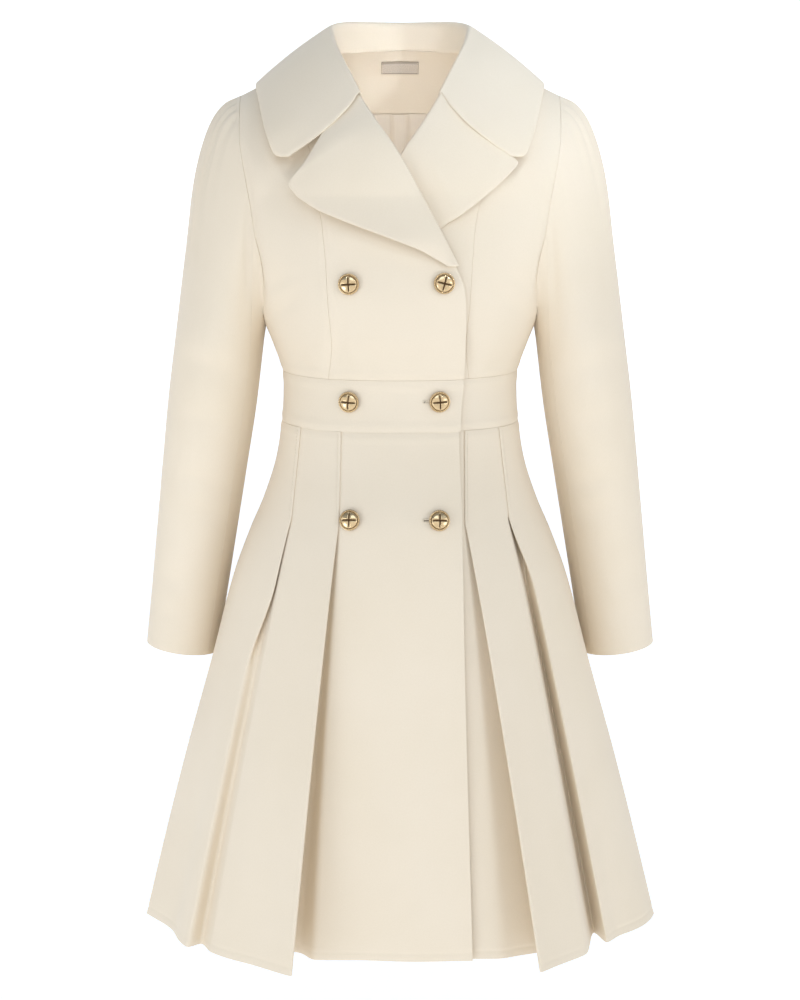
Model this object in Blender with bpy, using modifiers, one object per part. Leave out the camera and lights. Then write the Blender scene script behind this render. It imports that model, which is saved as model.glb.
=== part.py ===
"""Long double-breasted coat, filled out as worn, with a pleated skirt.

The coat faces -Y, and the wearer's right is towards -X. The origin is between the shoulder points.
Sizes are in millimetres and become metres when a mesh is made. "Across" is the distance from the
centre line towards a piece's own side, so it is negative where a front laps past the centre.
"""
import math
from bisect import bisect_right
from collections import namedtuple

import bmesh
import bpy
from mathutils import Vector

# Driving sizes
MM = 0.001
CLOTH = 2.0
THIN_CLOTH = 1.0
SEAM = 0.3
RIGHT = -1
LEFT = 1
SHARP_ANGLE = 40.0
EDGE_ROUNDS = 40

HEM = -916.0
PLEATS_OPEN = -445.0
BAND_BOTTOM = -349.0
BAND_TOP = -294.0
UNDERARM = -247.0
SHOULDER_START = -100.0

NECK_ACROSS = 72.0
NECK_HEIGHT = 48.0
SHOULDER_SLOPE = 0.495
SHOULDER_SEAM_Y = 12.0
FRONT_ROUNDING = 1.7
BACK_ROUNDING = 2.4
BACK_NECK_RISE = 2.0

# The right front laps over the left one: how far it stands off, the distances across between which
# that goes, the heights between which it grows over the hidden lapel, and those where it fades out
BREAK_ACROSS = -67.0
BREAK_HEIGHT = -179.0
LAP = 5.0
LAP_OVER_LAPEL = 7.0
LAP_FULL = 80.0
LAP_GONE = 100.0
LAP_GROWS = (-175.0, -135.0)
LAP_FADES = (-55.0, 0.0)
UNDERLAP = -30.0

# The body, from the hem up: half width, depth before and behind the side, squareness of the section
Section = namedtuple("Section", "height half_width front back squareness")
BODY = [
    Section(-916, 288, 176, 174, 2.10),
    Section(-820, 264, 171, 166, 2.10),
    Section(-720, 238, 164, 157, 2.10),
    Section(-617, 209, 155, 146, 2.10),
    Section(-523, 184, 144, 132, 2.12),
    Section(-471, 165, 135, 122, 2.14),
    Section(-436, 150, 127, 114, 2.16),
    Section(-393, 136, 115, 104, 2.20),
    Section(-349, 129, 106, 96, 2.30),
    Section(-320, 127, 104, 94, 2.30),
    Section(-294, 128, 106, 95, 2.30),
    Section(-270, 136, 112, 99, 2.30),
    Section(-247, 145, 118, 104, 2.30),
    Section(-200, 166, 124, 109, 2.30),
    Section(-150, 186, 120, 112, 2.30),
    Section(-100, 197, 109, 112, 2.30),
]

# Edges and seams of the panels, as the distance across at a height
Edge = namedtuple("Edge", "height across")
FRONT_EDGE = [
    Edge(-916, -78), Edge(-623, -69), Edge(-436, -65),
    Edge(-337, -62), Edge(-294, -65), Edge(-179, -67),
]
PRINCESS_SEAM = [
    Edge(-294, 73), Edge(-256, 70), Edge(-210, 73),
    Edge(-134, 78), Edge(-106, 84), Edge(25, 118),
]
ARMHOLE = [Edge(-247, 145), Edge(-190, 151), Edge(-135, 158), Edge(-50, 169), Edge(0, 171)]

# Knife pleats: where the fold stands at the band, where it opens and at the hem, how far it stands
# proud and how deep the cloth under it lies at the hem, and how far that cloth reaches under the fold
Pleat = namedtuple("Pleat", "face side at_band at_open at_hem proud depth under")
PLEATS = [
    Pleat("front", RIGHT, 63, 65, 111, 36, 22, 20),
    Pleat("front", RIGHT, 106, 116, 222, 8, 36, 18),
    Pleat("front", LEFT, 69, 69, 141, 36, 22, 20),
    Pleat("front", LEFT, 106, 116, 211, 8, 36, 18),
    Pleat("back", RIGHT, 60, 64, 125, 28, 22, 18),
    Pleat("back", RIGHT, 104, 114, 214, 8, 32, 18),
    Pleat("back", LEFT, 60, 64, 125, 28, 22, 18),
    Pleat("back", LEFT, 104, 114, 214, 8, 32, 18),
]
PLEAT_FLAT = 2.6
PLEAT_FLAT_REACH = 10.0
PLEAT_GAP_AT_HEM = 6.0
FOLD_BOW = 0.9
CENTRE_FLATNESS = 18.0
CENTRE_STEPS = 5
BETWEEN_STEPS = 4
SIDE_STEPS = 5
MITRE_LIMIT = 0.6

# Rows of the panels: heights below the shoulder, then shares of the way up to the shoulder seam
BODICE_HEIGHTS = [BAND_TOP, -270, UNDERARM, -213, BREAK_HEIGHT, -140]
SHOULDER_RISES = [0.0, 0.22, 0.42, 0.60, 0.76, 0.89, 0.97, 1.0]
BAND_HEIGHTS = [BAND_BOTTOM, -320, BAND_TOP]
SKIRT_HEIGHTS = [BAND_BOTTOM, -395, PLEATS_OPEN, -471, -523, -590, -670, -755, -840, HEM]
BACK_SHARES = [0, 0.13, 0.25, 0.34, 0.421, 0.56, 0.72, 0.86, 0.96, 1]
FRONT_COLUMNS = 9
SIDE_FRONT_COLUMNS = 6
BAND_COLUMNS = 13

# Sleeve rings from the biceps to the cuff: inner and outer edge across, half depth, middle, lean
Ring = namedtuple("Ring", "height inner outer half_depth middle lean")
SLEEVE = [
    Ring(-262, 148, 244, 64, 0, 0.05),
    Ring(-330, 157, 253, 60, 6, 0.10),
    Ring(-400, 169, 261, 56, 16, 0.13),
    Ring(-470, 181, 269, 53, 28, 0.14),
    Ring(-540, 193, 277, 50, 40, 0.14),
    Ring(-616, 206, 286, 48, 52, 0.14),
]
# Sleeve head: share of the way from armhole to biceps, how far it puffs out, depth of its gathers
Head = namedtuple("Head", "share puff gather")
SLEEVE_HEAD = [
    Head(0.0, 0, 0.0), Head(0.03, 14, 1.4), Head(0.12, 25, 1.2),
    Head(0.31, 27, 0.6), Head(0.62, 15, 0.0),
]
PUFF_ROUNDNESS = 1.5
PUFF_RISE = 0.12
ARMHOLE_GAP = 0.9
GATHERS = 6
HEAD_POINTS = 9
UNDER_SLEEVE_FRONT = 3
UNDER_SLEEVE_BACK = 3

# Lapels: roll line point and outer edge point, from the break up to the gorge seam. The left one
# starts where it comes out from under the right front.
LapelRow = namedtuple("LapelRow", "roll_height edge_across edge_height")
RIGHT_LAPEL = [
    LapelRow(-172, -56, -172),
    LapelRow(-152, -20, -150),
    LapelRow(-128, 14, -136),
    LapelRow(-102, 46, -122),
    LapelRow(-76, 76, -109),
    LapelRow(-50, 100, -98),
    LapelRow(-36, 111, -88),
    LapelRow(-23, 98, -67),
    LapelRow(-8, 82, -46),
]
LEFT_LAPEL = [
    LapelRow(-102, 40, -134),
    LapelRow(-76, 66, -114),
    LapelRow(-50, 96, -92),
    LapelRow(-36, 115, -76),
    LapelRow(-23, 101, -61),
    LapelRow(-8, 82, -46),
]
LapelColumn = namedtuple("LapelColumn", "share beyond lift")
LAPEL_COLUMNS = [
    LapelColumn(0.0, -3.4, -1.5),
    LapelColumn(0.0, -3.6, 1.4),
    LapelColumn(0.0, -0.6, 4.4),
    LapelColumn(0.16, 0.0, 7.0),
    LapelColumn(0.42, 0.0, 8.6),
    LapelColumn(0.72, 0.0, 8.0),
    LapelColumn(1.0, 0.0, 6.4),
]
COVERED_LIFT = 3.2
COVERED_UNTIL = 6.0
UNCOVERED_FROM = 34.0

# Collar stations from the gorge seam round to the centre back: neck seam, roll line, middle of the
# fall and outer edge, as points on the right-hand side
Station = namedtuple("Station", "seam roll middle edge")
COLLAR = [
    Station((40.3, -70, 2.5), (40.5, -76, 6), (76, -92, -31), (126, -92, -66)),
    Station((51.3, -51.5, 21), (51.8, -57, 27), (98, -74, -8), (138, -76, -38)),
    Station((61.8, -26, 38), (62.5, -30, 47), (108, -36, 26), (148, -42, -8)),
    Station((69.6, 10, 49.5), (70.5, 9, 69), (114, 8, 46), (154, 4, 13)),
    Station((66.5, 30, 50.2), (67.5, 29, 75), (106, 46, 46), (146, 40, 8)),
    Station((53, 50, 50.8), (53, 48, 78.5), (84, 74, 44), (114, 82, 0)),
    Station((31, 65, 51), (31, 63, 80), (48, 92, 42), (64, 104, -9)),
    Station((0, 76.2, 51.2), (0, 74, 80), (0, 102, 42), (0, 112, -12)),
]
COLLAR_THICKNESS = 2.4
COLLAR_CLEAR = 6.0
FOLD_RADIUS = 5.0
FOLD_TOP = 0.6
FOLD_OUT = 1.9
FOLD_DROP = 0.5
FALL_STEPS = 5

# Inside of the back neck
FACING_BOTTOM = -20.0
FACING_HALF = 60.0
FACING_COLUMNS = 15
LINING_BOTTOM = -150.0
LINING_HALF = 84.0
LINING_COLUMNS = 15
INSIDE_ROWS = 4
EASE_PLEAT_HALF = 6.0
EASE_PLEAT_DEPTH = 1.5
LABEL_HALF = 20.0
LABEL_TOP = 37.0
LABEL_BOTTOM = 22.0
LABEL_THICKNESS = 0.6
LABEL_COLUMNS = 5
LABEL_ROWS = 2
INSIDE_GAP = 2.0
LABEL_GAP = 1.5

# Buttons: columns and rows on the right front, and the turned profile as radius and height
BUTTON_COLUMNS = {"outer": 53.0, "inner": -43.0}
BUTTON_ROWS = {"top": -191.0, "middle": -316.0, "bottom": -439.0}
BUTTON_PROFILE = [
    (0.0, 5.2), (3.5, 4.9), (6.5, 3.9), (8.6, 2.6), (9.4, 2.5), (10.4, 3.6),
    (11.4, 3.5), (12.0, 2.4), (11.6, 1.0), (10.0, 0.0), (0.0, 0.0),
]
BUTTON_SIDES = 18
BUTTON_GAP = 1.5
BUTTON_STEP = 2.0
MERGE_WITHIN = 0.00001


def smooth_at(rows, field, height):
    """A column of a table at any height, on a smooth curve through its rows."""
    heights = [row.height for row in rows]
    values = [getattr(row, field) for row in rows]
    last = len(rows) - 1
    here = min(max(bisect_right(heights, height) - 1, 0), last - 1)
    span = heights[here + 1] - heights[here]
    t = min(max((height - heights[here]) / span, 0.0), 1.0)

    def slope(row):
        below, above = max(row - 1, 0), min(row + 1, last)
        return (values[above] - values[below]) / (heights[above] - heights[below])

    start = (1 + 2 * t) * (1 - t) ** 2 * values[here] + t * (1 - t) ** 2 * span * slope(here)
    end = t * t * (3 - 2 * t) * values[here + 1] - t * t * (1 - t) * span * slope(here + 1)
    return start + end


def straight_at(rows, height):
    """The distance across of an edge at a height, on straight runs between its rows."""
    for low, high in zip(rows, rows[1:]):
        if height <= high.height:
            share = max((height - low.height) / (high.height - low.height), 0.0)
            return low.across + share * (high.across - low.across)
    return rows[-1].across


def ease(share):
    """From 0 to 1 with a soft start and end."""
    share = min(max(share, 0.0), 1.0)
    return share * share * (3 - 2 * share)


def shoulder_height(across):
    return NECK_HEIGHT - SHOULDER_SLOPE * (abs(across) - NECK_ACROSS)


def row_height(row, across):
    """Rows at or above the shoulder's start are shares of the way up to its seam."""
    if row < 0:
        return float(row)
    return SHOULDER_START + row * (shoulder_height(across) - SHOULDER_START)


def body_point(x, height, out=0.0, back=False):
    """A point on the coat's body, moved out of its surface."""
    level = min(height, SHOULDER_START)
    half_width = smooth_at(BODY, "half_width", level)
    depth = smooth_at(BODY, "back" if back else "front", level)
    power = smooth_at(BODY, "squareness", level)
    side = min(max(x / half_width, -1.0), 1.0)
    turn = (1 - abs(side) ** power) ** (1 / power)
    y = (depth + out) * turn
    z = height
    if height > SHOULDER_START:
        seam_y = SHOULDER_SEAM_Y if back else -SHOULDER_SEAM_Y
        rounding = BACK_ROUNDING if back else FRONT_ROUNDING
        top = shoulder_height(x)
        rise = min((height - SHOULDER_START) / (top - SHOULDER_START), 1.0)
        y = seam_y + (y - seam_y) * (1 - rise ** rounding) ** (1 / rounding)
        z = height + out * rise
    return Vector(((half_width + out) * side, y if back else -y, z))


def lift_of(side, across, height):
    """How far a front stands off the body: the right one lies over the left one and its lapel."""
    if side == LEFT:
        return 0.0
    lap = LAP + (LAP_OVER_LAPEL - LAP) * ease((height - LAP_GROWS[0]) / (LAP_GROWS[1] - LAP_GROWS[0]))
    lap *= ease((LAP_FADES[1] - height) / (LAP_FADES[1] - LAP_FADES[0]))
    return lap * ease((LAP_GONE - across) / (LAP_GONE - LAP_FULL))


def roll_line(height):
    share = (height - BREAK_HEIGHT) / (NECK_HEIGHT - BREAK_HEIGHT)
    return BREAK_ACROSS + share * (NECK_ACROSS - BREAK_ACROSS)


def front_edge(height):
    return straight_at(FRONT_EDGE, height) if height < BREAK_HEIGHT else roll_line(height)


def princess_seam(height):
    return straight_at(PRINCESS_SEAM, height)


def side_edge(height):
    """The side seam, and above the underarm the armhole."""
    if height <= UNDERARM:
        return smooth_at(BODY, "half_width", height)
    return straight_at(ARMHOLE, height)


def edge_on_row(edge, row):
    """Where an edge crosses a row that slopes with the shoulder."""
    across = 0.0
    for _ in range(EDGE_ROUNDS):
        across = edge(row_height(row, across))
    return across


def spread(start, end, half_width, count):
    """Distances across between two edges, closer together where the body turns to the side."""
    first = math.asin(max(min(start / half_width, 1.0), -1.0))
    last = math.asin(max(min(end / half_width, 1.0), -1.0))
    return [half_width * math.sin(first + (last - first) * i / (count - 1)) for i in range(count)]


def make_material(name, colour, roughness, metallic):
    material = bpy.data.materials.new(name)
    material.use_nodes = True
    shader = material.node_tree.nodes["Principled BSDF"]
    shader.inputs["Base Color"].default_value = (*colour, 1.0)
    shader.inputs["Roughness"].default_value = roughness
    shader.inputs["Metallic"].default_value = metallic
    return material


def add_object(name, mesh, material):
    """Names the piece, gives it its finish and puts it in the coat's collection."""
    mesh.materials.append(material)
    mesh.shade_smooth()
    mesh.set_sharp_from_angle(angle=math.radians(SHARP_ANGLE))
    piece = bpy.data.objects.new(name, mesh)
    coat.objects.link(piece)
    return piece


def make_wall(name, outer, inner, material):
    """A closed cloth wall lofted between an outer and an inner grid of the same rows and columns."""
    rows, columns = len(outer), len(outer[0])
    shape = bmesh.new()
    over = [[shape.verts.new(point * MM) for point in row] for row in outer]
    under = [[shape.verts.new(point * MM) for point in row] for row in inner]
    for grid in (over, under):
        for i in range(rows - 1):
            for j in range(columns - 1):
                shape.faces.new((grid[i][j], grid[i][j + 1], grid[i + 1][j + 1], grid[i + 1][j]))
    for i in range(rows - 1):
        for j in (0, columns - 1):
            shape.faces.new((over[i][j], over[i + 1][j], under[i + 1][j], under[i][j]))
    for j in range(columns - 1):
        for i in (0, rows - 1):
            shape.faces.new((over[i][j], over[i][j + 1], under[i][j + 1], under[i][j]))
    bmesh.ops.recalc_face_normals(shape, faces=shape.faces)
    mesh = bpy.data.meshes.new(name)
    shape.to_mesh(mesh)
    shape.free()
    return add_object(name, mesh, material)


def panel(name, side, inner_edge, outer_edge, rows, columns, material):
    """A front panel of one side between two edges, with the seam's gap all round it."""
    outer, inner = [], []
    for number, row in enumerate(rows):
        start = edge_on_row(inner_edge, row) + SEAM / 2
        end = edge_on_row(outer_edge, row)
        half_width = smooth_at(BODY, "half_width", row_height(row, end))
        at_side = end > half_width - SEAM
        across_row = spread(start, end if at_side else end - SEAM / 2, half_width, columns)
        for grid, depth in ((outer, 0.0), (inner, -CLOTH)):
            points = []
            for across in across_row:
                height = row_height(row, across)
                out = lift_of(side, across, height) + depth
                point = body_point(side * across, height, out)
                points.append(point + Vector((0, -SEAM / 2, seam_shift(number, rows))))
            grid.append(points)
    return make_wall(name, outer, inner, material)


def seam_shift(number, rows):
    """The lowest row moves up and the highest row of a level panel moves down by half a seam."""
    if number == 0:
        return SEAM / 2
    if number == len(rows) - 1 and rows[-1] < 0:
        return -SEAM / 2
    return 0.0


def neck_share(x):
    """How far up towards the shoulder line the back reaches: between the shoulders it ends level."""
    if abs(x) > NECK_ACROSS:
        return 1.0
    neckline = NECK_HEIGHT + BACK_NECK_RISE * (1 - (x / NECK_ACROSS) ** 2)
    return (neckline - SHOULDER_START) / (shoulder_height(x) - SHOULDER_START)


def back_rows(name, heights, rises, material):
    """The back panel from side to side; its top follows the shoulders and the neckline."""
    outer, inner = [], []
    shares = [-share for share in reversed(BACK_SHARES[1:])] + BACK_SHARES
    rows = list(heights) + list(rises)
    for number, row in enumerate(rows):
        end = edge_on_row(side_edge, row)
        half_width = smooth_at(BODY, "half_width", row_height(row, end))
        limit = end if end > half_width - SEAM else end - SEAM / 2
        for grid, out in ((outer, 0.0), (inner, -CLOTH)):
            points = []
            for share in shares:
                x = share * limit
                level = row * neck_share(x) if row > 0 else row
                point = body_point(x, row_height(level, x), out, back=True)
                points.append(point + Vector((0, SEAM / 2, seam_shift(number, rows))))
            grid.append(points)
    return make_wall(name, outer, inner, material)


def outward(x, height, back):
    """The level direction that points out of the skirt's section."""
    half_width = smooth_at(BODY, "half_width", height)
    depth = smooth_at(BODY, "back" if back else "front", height)
    power = smooth_at(BODY, "squareness", height)
    side = min(max(x / half_width, -1.0), 1.0)
    turn = (1 - abs(side) ** power) ** (1 / power)
    sideways = math.copysign(abs(side) ** (power - 1), side) / half_width
    away = turn ** (power - 1) / depth
    return Vector((sideways, away if back else -away, 0)).normalized()


def pleat_at(pleat, height):
    """A pleat's fold, stand, depth, reach and layer gap at a height."""
    if height > PLEATS_OPEN:
        down = (BAND_BOTTOM - height) / (BAND_BOTTOM - PLEATS_OPEN)
        fold = pleat.at_band + (pleat.at_open - pleat.at_band) * down
        return fold, PLEAT_FLAT, PLEAT_FLAT, PLEAT_FLAT_REACH, PLEAT_FLAT
    down = (PLEATS_OPEN - height) / (PLEATS_OPEN - HEM)
    fold = pleat.at_open + (pleat.at_hem - pleat.at_open) * down ** FOLD_BOW
    proud = PLEAT_FLAT + (pleat.proud - PLEAT_FLAT) * down
    depth = PLEAT_FLAT + (pleat.depth - PLEAT_FLAT) * down
    reach = PLEAT_FLAT_REACH + (pleat.under - PLEAT_FLAT_REACH) * down
    return fold, proud, depth, reach, PLEAT_FLAT + (PLEAT_GAP_AT_HEM - PLEAT_FLAT) * down


def half_section(face, side, height, start):
    """Half of the skirt's section as (across, out) pairs, from an inner edge to the side seam."""
    pleats = [p for p in PLEATS if p.face == face and p.side == side]
    down = max((PLEATS_OPEN - height) / (PLEATS_OPEN - HEM), 0.0)
    from_across, from_out = start, -CENTRE_FLATNESS * down
    pairs = [(start, from_out)]
    for number, pleat in enumerate(pleats):
        fold, proud, depth, reach, gap = pleat_at(pleat, height)
        steps = CENTRE_STEPS if number == 0 else BETWEEN_STEPS
        for i in range(1, steps + 1):
            share = i / steps
            drop = 1 - math.cos(math.pi / 2 * share)
            across = from_across + (fold - from_across) * share
            pairs.append((across, from_out + (-depth - from_out) * drop))
        pairs += [(fold + reach, -depth), (fold + reach, gap - depth), (fold, proud - gap), (fold, proud)]
        from_across, from_out = fold, proud
    half_width = smooth_at(BODY, "half_width", height)
    for i in range(1, SIDE_STEPS + 1):
        share = math.sin(math.pi / 2 * i / SIDE_STEPS)
        across = from_across + (half_width - from_across) * share
        pairs.append((across, from_out * math.cos(math.pi / 2 * share)))
    return pairs


def section_points(face, side, height, start):
    back = face == "back"
    points = []
    for across, out in half_section(face, side, height, start):
        raised = out - CLOTH / 2 + (0.0 if back else lift_of(side, across, height))
        x = side * across
        point = body_point(x, height, 0.0, back) + raised * outward(x, height, back)
        points.append(point)
    points[-1].y = SEAM / 2 if back else -SEAM / 2
    return points


def offset_line(points, distance):
    """A level line moved sideways by a distance, with its corners mitred."""
    moved = []
    for i, point in enumerate(points):
        before = (point - points[max(i - 1, 0)]).to_2d()
        after = (points[min(i + 1, len(points) - 1)] - point).to_2d()
        first = before.normalized() if before.length > 0 else after.normalized()
        second = after.normalized() if after.length > 0 else first
        normal = Vector((first.y + second.y, -first.x - second.x)).normalized()
        stretch = max(normal.dot(Vector((first.y, -first.x))), MITRE_LIMIT)
        moved.append(point + Vector((normal.x, normal.y, 0)) * distance / stretch)
    return moved


def skirt_wall(name, lines, material):
    """A skirt panel from its level lines, the cloth's middle, with half the cloth on each side."""
    outer = [offset_line(line, CLOTH / 2) for line in lines]
    inner = [offset_line(line, -CLOTH / 2) for line in lines]
    return make_wall(name, outer, inner, material)


def skirt_heights():
    return [BAND_BOTTOM - SEAM / 2] + SKIRT_HEIGHTS[1:]


def skirt_edge(side, height):
    """The front edge of the upper front; the one under it ends short of the upper one's pleat."""
    return straight_at(FRONT_EDGE, height) if side == RIGHT else UNDERLAP


def make_skirt(cloth):
    for name, side in (("skirt_right", RIGHT), ("skirt_left", LEFT)):
        lines = [section_points("front", side, h, skirt_edge(side, h)) for h in skirt_heights()]
        skirt_wall(name, lines, cloth)
    lines = []
    for height in skirt_heights():
        right = section_points("back", RIGHT, height, 0.0)
        left = section_points("back", LEFT, height, 0.0)
        lines.append(list(reversed(right)) + left[1:])
    skirt_wall("skirt_back", lines, cloth)


def make_bodice(cloth):
    rows = BODICE_HEIGHTS + SHOULDER_RISES
    for word, side in (("right", RIGHT), ("left", LEFT)):
        panel(f"front_{word}", side, front_edge, princess_seam, rows, FRONT_COLUMNS, cloth)
        panel(f"side_front_{word}", side, princess_seam, side_edge, rows, SIDE_FRONT_COLUMNS, cloth)
        panel(f"band_{word}", side, front_edge, side_edge, BAND_HEIGHTS, BAND_COLUMNS, cloth)
    back_rows("back_bodice", BODICE_HEIGHTS, SHOULDER_RISES, cloth)
    back_rows("band_back", BAND_HEIGHTS, [], cloth)


def grid_normals(grid, ring=False):
    """The direction out of a grid of points at each of them."""
    rows, columns = len(grid), len(grid[0])
    normals = []
    for i in range(rows):
        line = []
        for j in range(columns):
            before = grid[i][j - 1] if ring or j > 0 else grid[i][j]
            after = grid[i][(j + 1) % columns] if ring or j < columns - 1 else grid[i][j]
            down = grid[max(i - 1, 0)][j]
            up = grid[min(i + 1, rows - 1)][j]
            line.append((after - before).cross(up - down).normalized())
        normals.append(line)
    return normals


def inside_of(grid, thickness, ring=False):
    moved = []
    for line, directions in zip(grid, grid_normals(grid, ring)):
        moved.append([point - direction * thickness for point, direction in zip(line, directions)])
    return moved


def armhole_loop(side):
    """The armhole as a loop from the underarm up the front, over the shoulder and down the back."""
    lower = BODICE_HEIGHTS[BODICE_HEIGHTS.index(UNDERARM):]
    head = [i / HEAD_POINTS for i in range(HEAD_POINTS + 1)]
    half = lower + [math.sin(math.pi / 2 * share) for share in head]
    loop = []
    for back in (False, True):
        points = []
        for row in half:
            across = edge_on_row(side_edge, row)
            point = body_point(side * across, row_height(row, across), 0.0, back)
            points.append(point + Vector((side * ARMHOLE_GAP, 0, 0)))
        loop += points if not back else list(reversed(points))[1:-1]
    return loop


def ring_points(side, ring, angles):
    """A sleeve ring: angle 0 is the outer edge, 90 degrees the front."""
    middle = (ring.inner + ring.outer) / 2
    half_width = (ring.outer - ring.inner) / 2
    points = []
    for angle in angles:
        reach = half_width * math.cos(angle)
        y = ring.middle - ring.half_depth * math.sin(angle)
        points.append(Vector((side * (middle + reach), y, ring.height + reach * ring.lean)))
    return points


def loop_angles(count):
    """Angles round the sleeve for the loop's points, from the inner edge by the front to the back."""
    return [math.pi - 2 * math.pi * i / count for i in range(count)]


def sleeve_grid(side):
    loop = armhole_loop(side)
    count = len(loop)
    angles = loop_angles(count)
    biceps = ring_points(side, SLEEVE[0], angles)
    grid = []
    for head in SLEEVE_HEAD:
        line = []
        for start, end, angle in zip(loop, biceps, angles):
            top = max(math.cos(angle), 0.0)
            puff = head.puff * top ** PUFF_ROUNDNESS
            gather = head.gather * top * math.cos(GATHERS * 2 * angle)
            point = start.lerp(end, head.share)
            line.append(point + Vector((side * puff, 0, gather + PUFF_RISE * puff)))
        grid.append(line)
    for ring in SLEEVE:
        grid.append(ring_points(side, ring, angles))
    return grid


def sleeve_piece(name, outer, inner, columns, material):
    """A strip of the sleeve's columns, drawn in at both long seams by half of the gap."""
    walls = []
    for grid in (outer, inner):
        strip = []
        for line in grid:
            points = [line[j % len(line)].copy() for j in columns]
            points[0] += (points[1] - points[0]).normalized() * SEAM / 2
            points[-1] += (points[-2] - points[-1]).normalized() * SEAM / 2
            strip.append(points)
        walls.append(strip)
    return make_wall(name, walls[0], walls[1], material)


def make_sleeves(cloth):
    for word, side in (("right", RIGHT), ("left", LEFT)):
        outer = sleeve_grid(side)
        inner = inside_of(outer, -CLOTH * side, ring=True)
        count = len(outer[0])
        seam_front = UNDER_SLEEVE_FRONT
        seam_back = count - UNDER_SLEEVE_BACK
        sleeve_piece(f"sleeve_{word}_outer", outer, inner, range(seam_front, seam_back + 1), cloth)
        sleeve_piece(f"sleeve_{word}_under", outer, inner, range(seam_back, count + seam_front + 1), cloth)


def lapel_grid(side):
    """The visible face of a lapel, rolled out over its front from the roll line."""
    rows = RIGHT_LAPEL if side == RIGHT else LEFT_LAPEL
    grid = []
    for row in rows:
        roll = roll_line(row.roll_height)
        line = []
        for column in LAPEL_COLUMNS:
            across = roll + (row.edge_across - roll) * column.share + column.beyond
            height = row.roll_height + (row.edge_height - row.roll_height) * column.share
            lift = column.lift
            if side == LEFT:
                bare = across + roll_line(height)
                shown = ease((bare - COVERED_UNTIL) / (UNCOVERED_FROM - COVERED_UNTIL))
                lift = min(lift, COVERED_LIFT) + max(lift - COVERED_LIFT, 0.0) * shown
            line.append(body_point(side * across, height, lift_of(side, across, height) + lift))
        grid.append(line)
    return grid


def make_lapels(cloth):
    for word, side in (("right", RIGHT), ("left", LEFT)):
        outer = lapel_grid(side)
        make_wall(f"lapel_{word}", outer, inside_of(outer, CLOTH * side), cloth)


def clear_of_body(point):
    """Moves a point of the collar's fall out until it stands clear of the bodice."""
    span = shoulder_height(point.x) - SHOULDER_START
    height = point.z
    if height > SHOULDER_START:
        height = SHOULDER_START + (point.z - SHOULDER_START) / (1 + COLLAR_CLEAR / span)
    if height >= shoulder_height(point.x):
        return point
    lift = lift_of(RIGHT, -point.x, height) if point.x < 0 else 0.0
    front = body_point(point.x, height, COLLAR_CLEAR + lift)
    back = body_point(point.x, height, COLLAR_CLEAR, back=True)
    y = min(point.y, front.y) if point.y < SHOULDER_SEAM_Y else max(point.y, back.y)
    return Vector((point.x, y, point.z))


def collar_line(station, side):
    """One station of the collar: up the stand, over the fold and down the fall."""
    seam, roll, middle, edge = [Vector((side * p[0], p[1], p[2])) for p in station]
    away = middle - roll
    away.z = 0
    away.normalize()
    stand = roll - seam
    up = stand.normalized()
    fold = min(FOLD_RADIUS, stand.length / 3)
    start = roll + (away * FOLD_OUT - up * FOLD_DROP) * fold
    line = [seam, (seam + roll) / 2, roll - up * fold, roll + away * FOLD_TOP * fold, start]
    control = middle * 2 - (start + edge) / 2
    for i in range(1, FALL_STEPS + 1):
        share = i / FALL_STEPS
        point = start * (1 - share) ** 2 + control * 2 * share * (1 - share) + edge * share ** 2
        line.append(clear_of_body(point))
    return line


def between(before, start, end, after, share):
    """A point of the smooth curve through four values, between the middle two."""
    lead, follow = (end - before) / 2, (after - start) / 2
    rest = (1 - share) ** 2
    first = (1 + 2 * share) * rest * start + share * rest * lead
    return first + share * share * ((3 - 2 * share) * end - (1 - share) * follow)


def collar_stations():
    """The stations of the right half with one more between each two, mirrored at the centre back."""
    rows = [[Vector(point) for point in station] for station in COLLAR]
    mirrored = [Vector((-point.x, point.y, point.z)) for point in rows[-2]]
    padded = [rows[0]] + rows + [mirrored]
    half = []
    for i in range(1, len(rows)):
        half.append(rows[i - 1])
        half.append([between(*points, 0.5) for points in zip(*padded[i - 1:i + 3])])
    return half + [rows[-1]]


def make_collar(cloth):
    half = collar_stations()
    right = [collar_line(station, RIGHT) for station in half]
    left = [collar_line(station, LEFT) for station in reversed(half[:-1])]
    outer = right + left
    make_wall("collar", outer, inside_of(outer, -COLLAR_THICKNESS), cloth)


def inside_piece(name, half, bottom, top_of, depth, thickness, columns, rows, material, ridge=None):
    """A piece that lies on the inside of the back, at a depth under its outer face."""
    walls = []
    for extra in (0.0, thickness):
        grid = []
        for i in range(rows):
            line = []
            for j in range(columns):
                x = half * (2 * j / (columns - 1) - 1)
                height = bottom + (top_of(x) - bottom) * i / (rows - 1)
                raised = ridge(x) if ridge else 0.0
                line.append(body_point(x, height, -depth - extra - raised, back=True))
            grid.append(line)
        walls.append(grid)
    return make_wall(name, walls[0], walls[1], material)


def ease_pleat(x):
    """The lining's soft pleat down the centre back."""
    return EASE_PLEAT_DEPTH * ease(2 - abs(x) / EASE_PLEAT_HALF)


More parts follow.
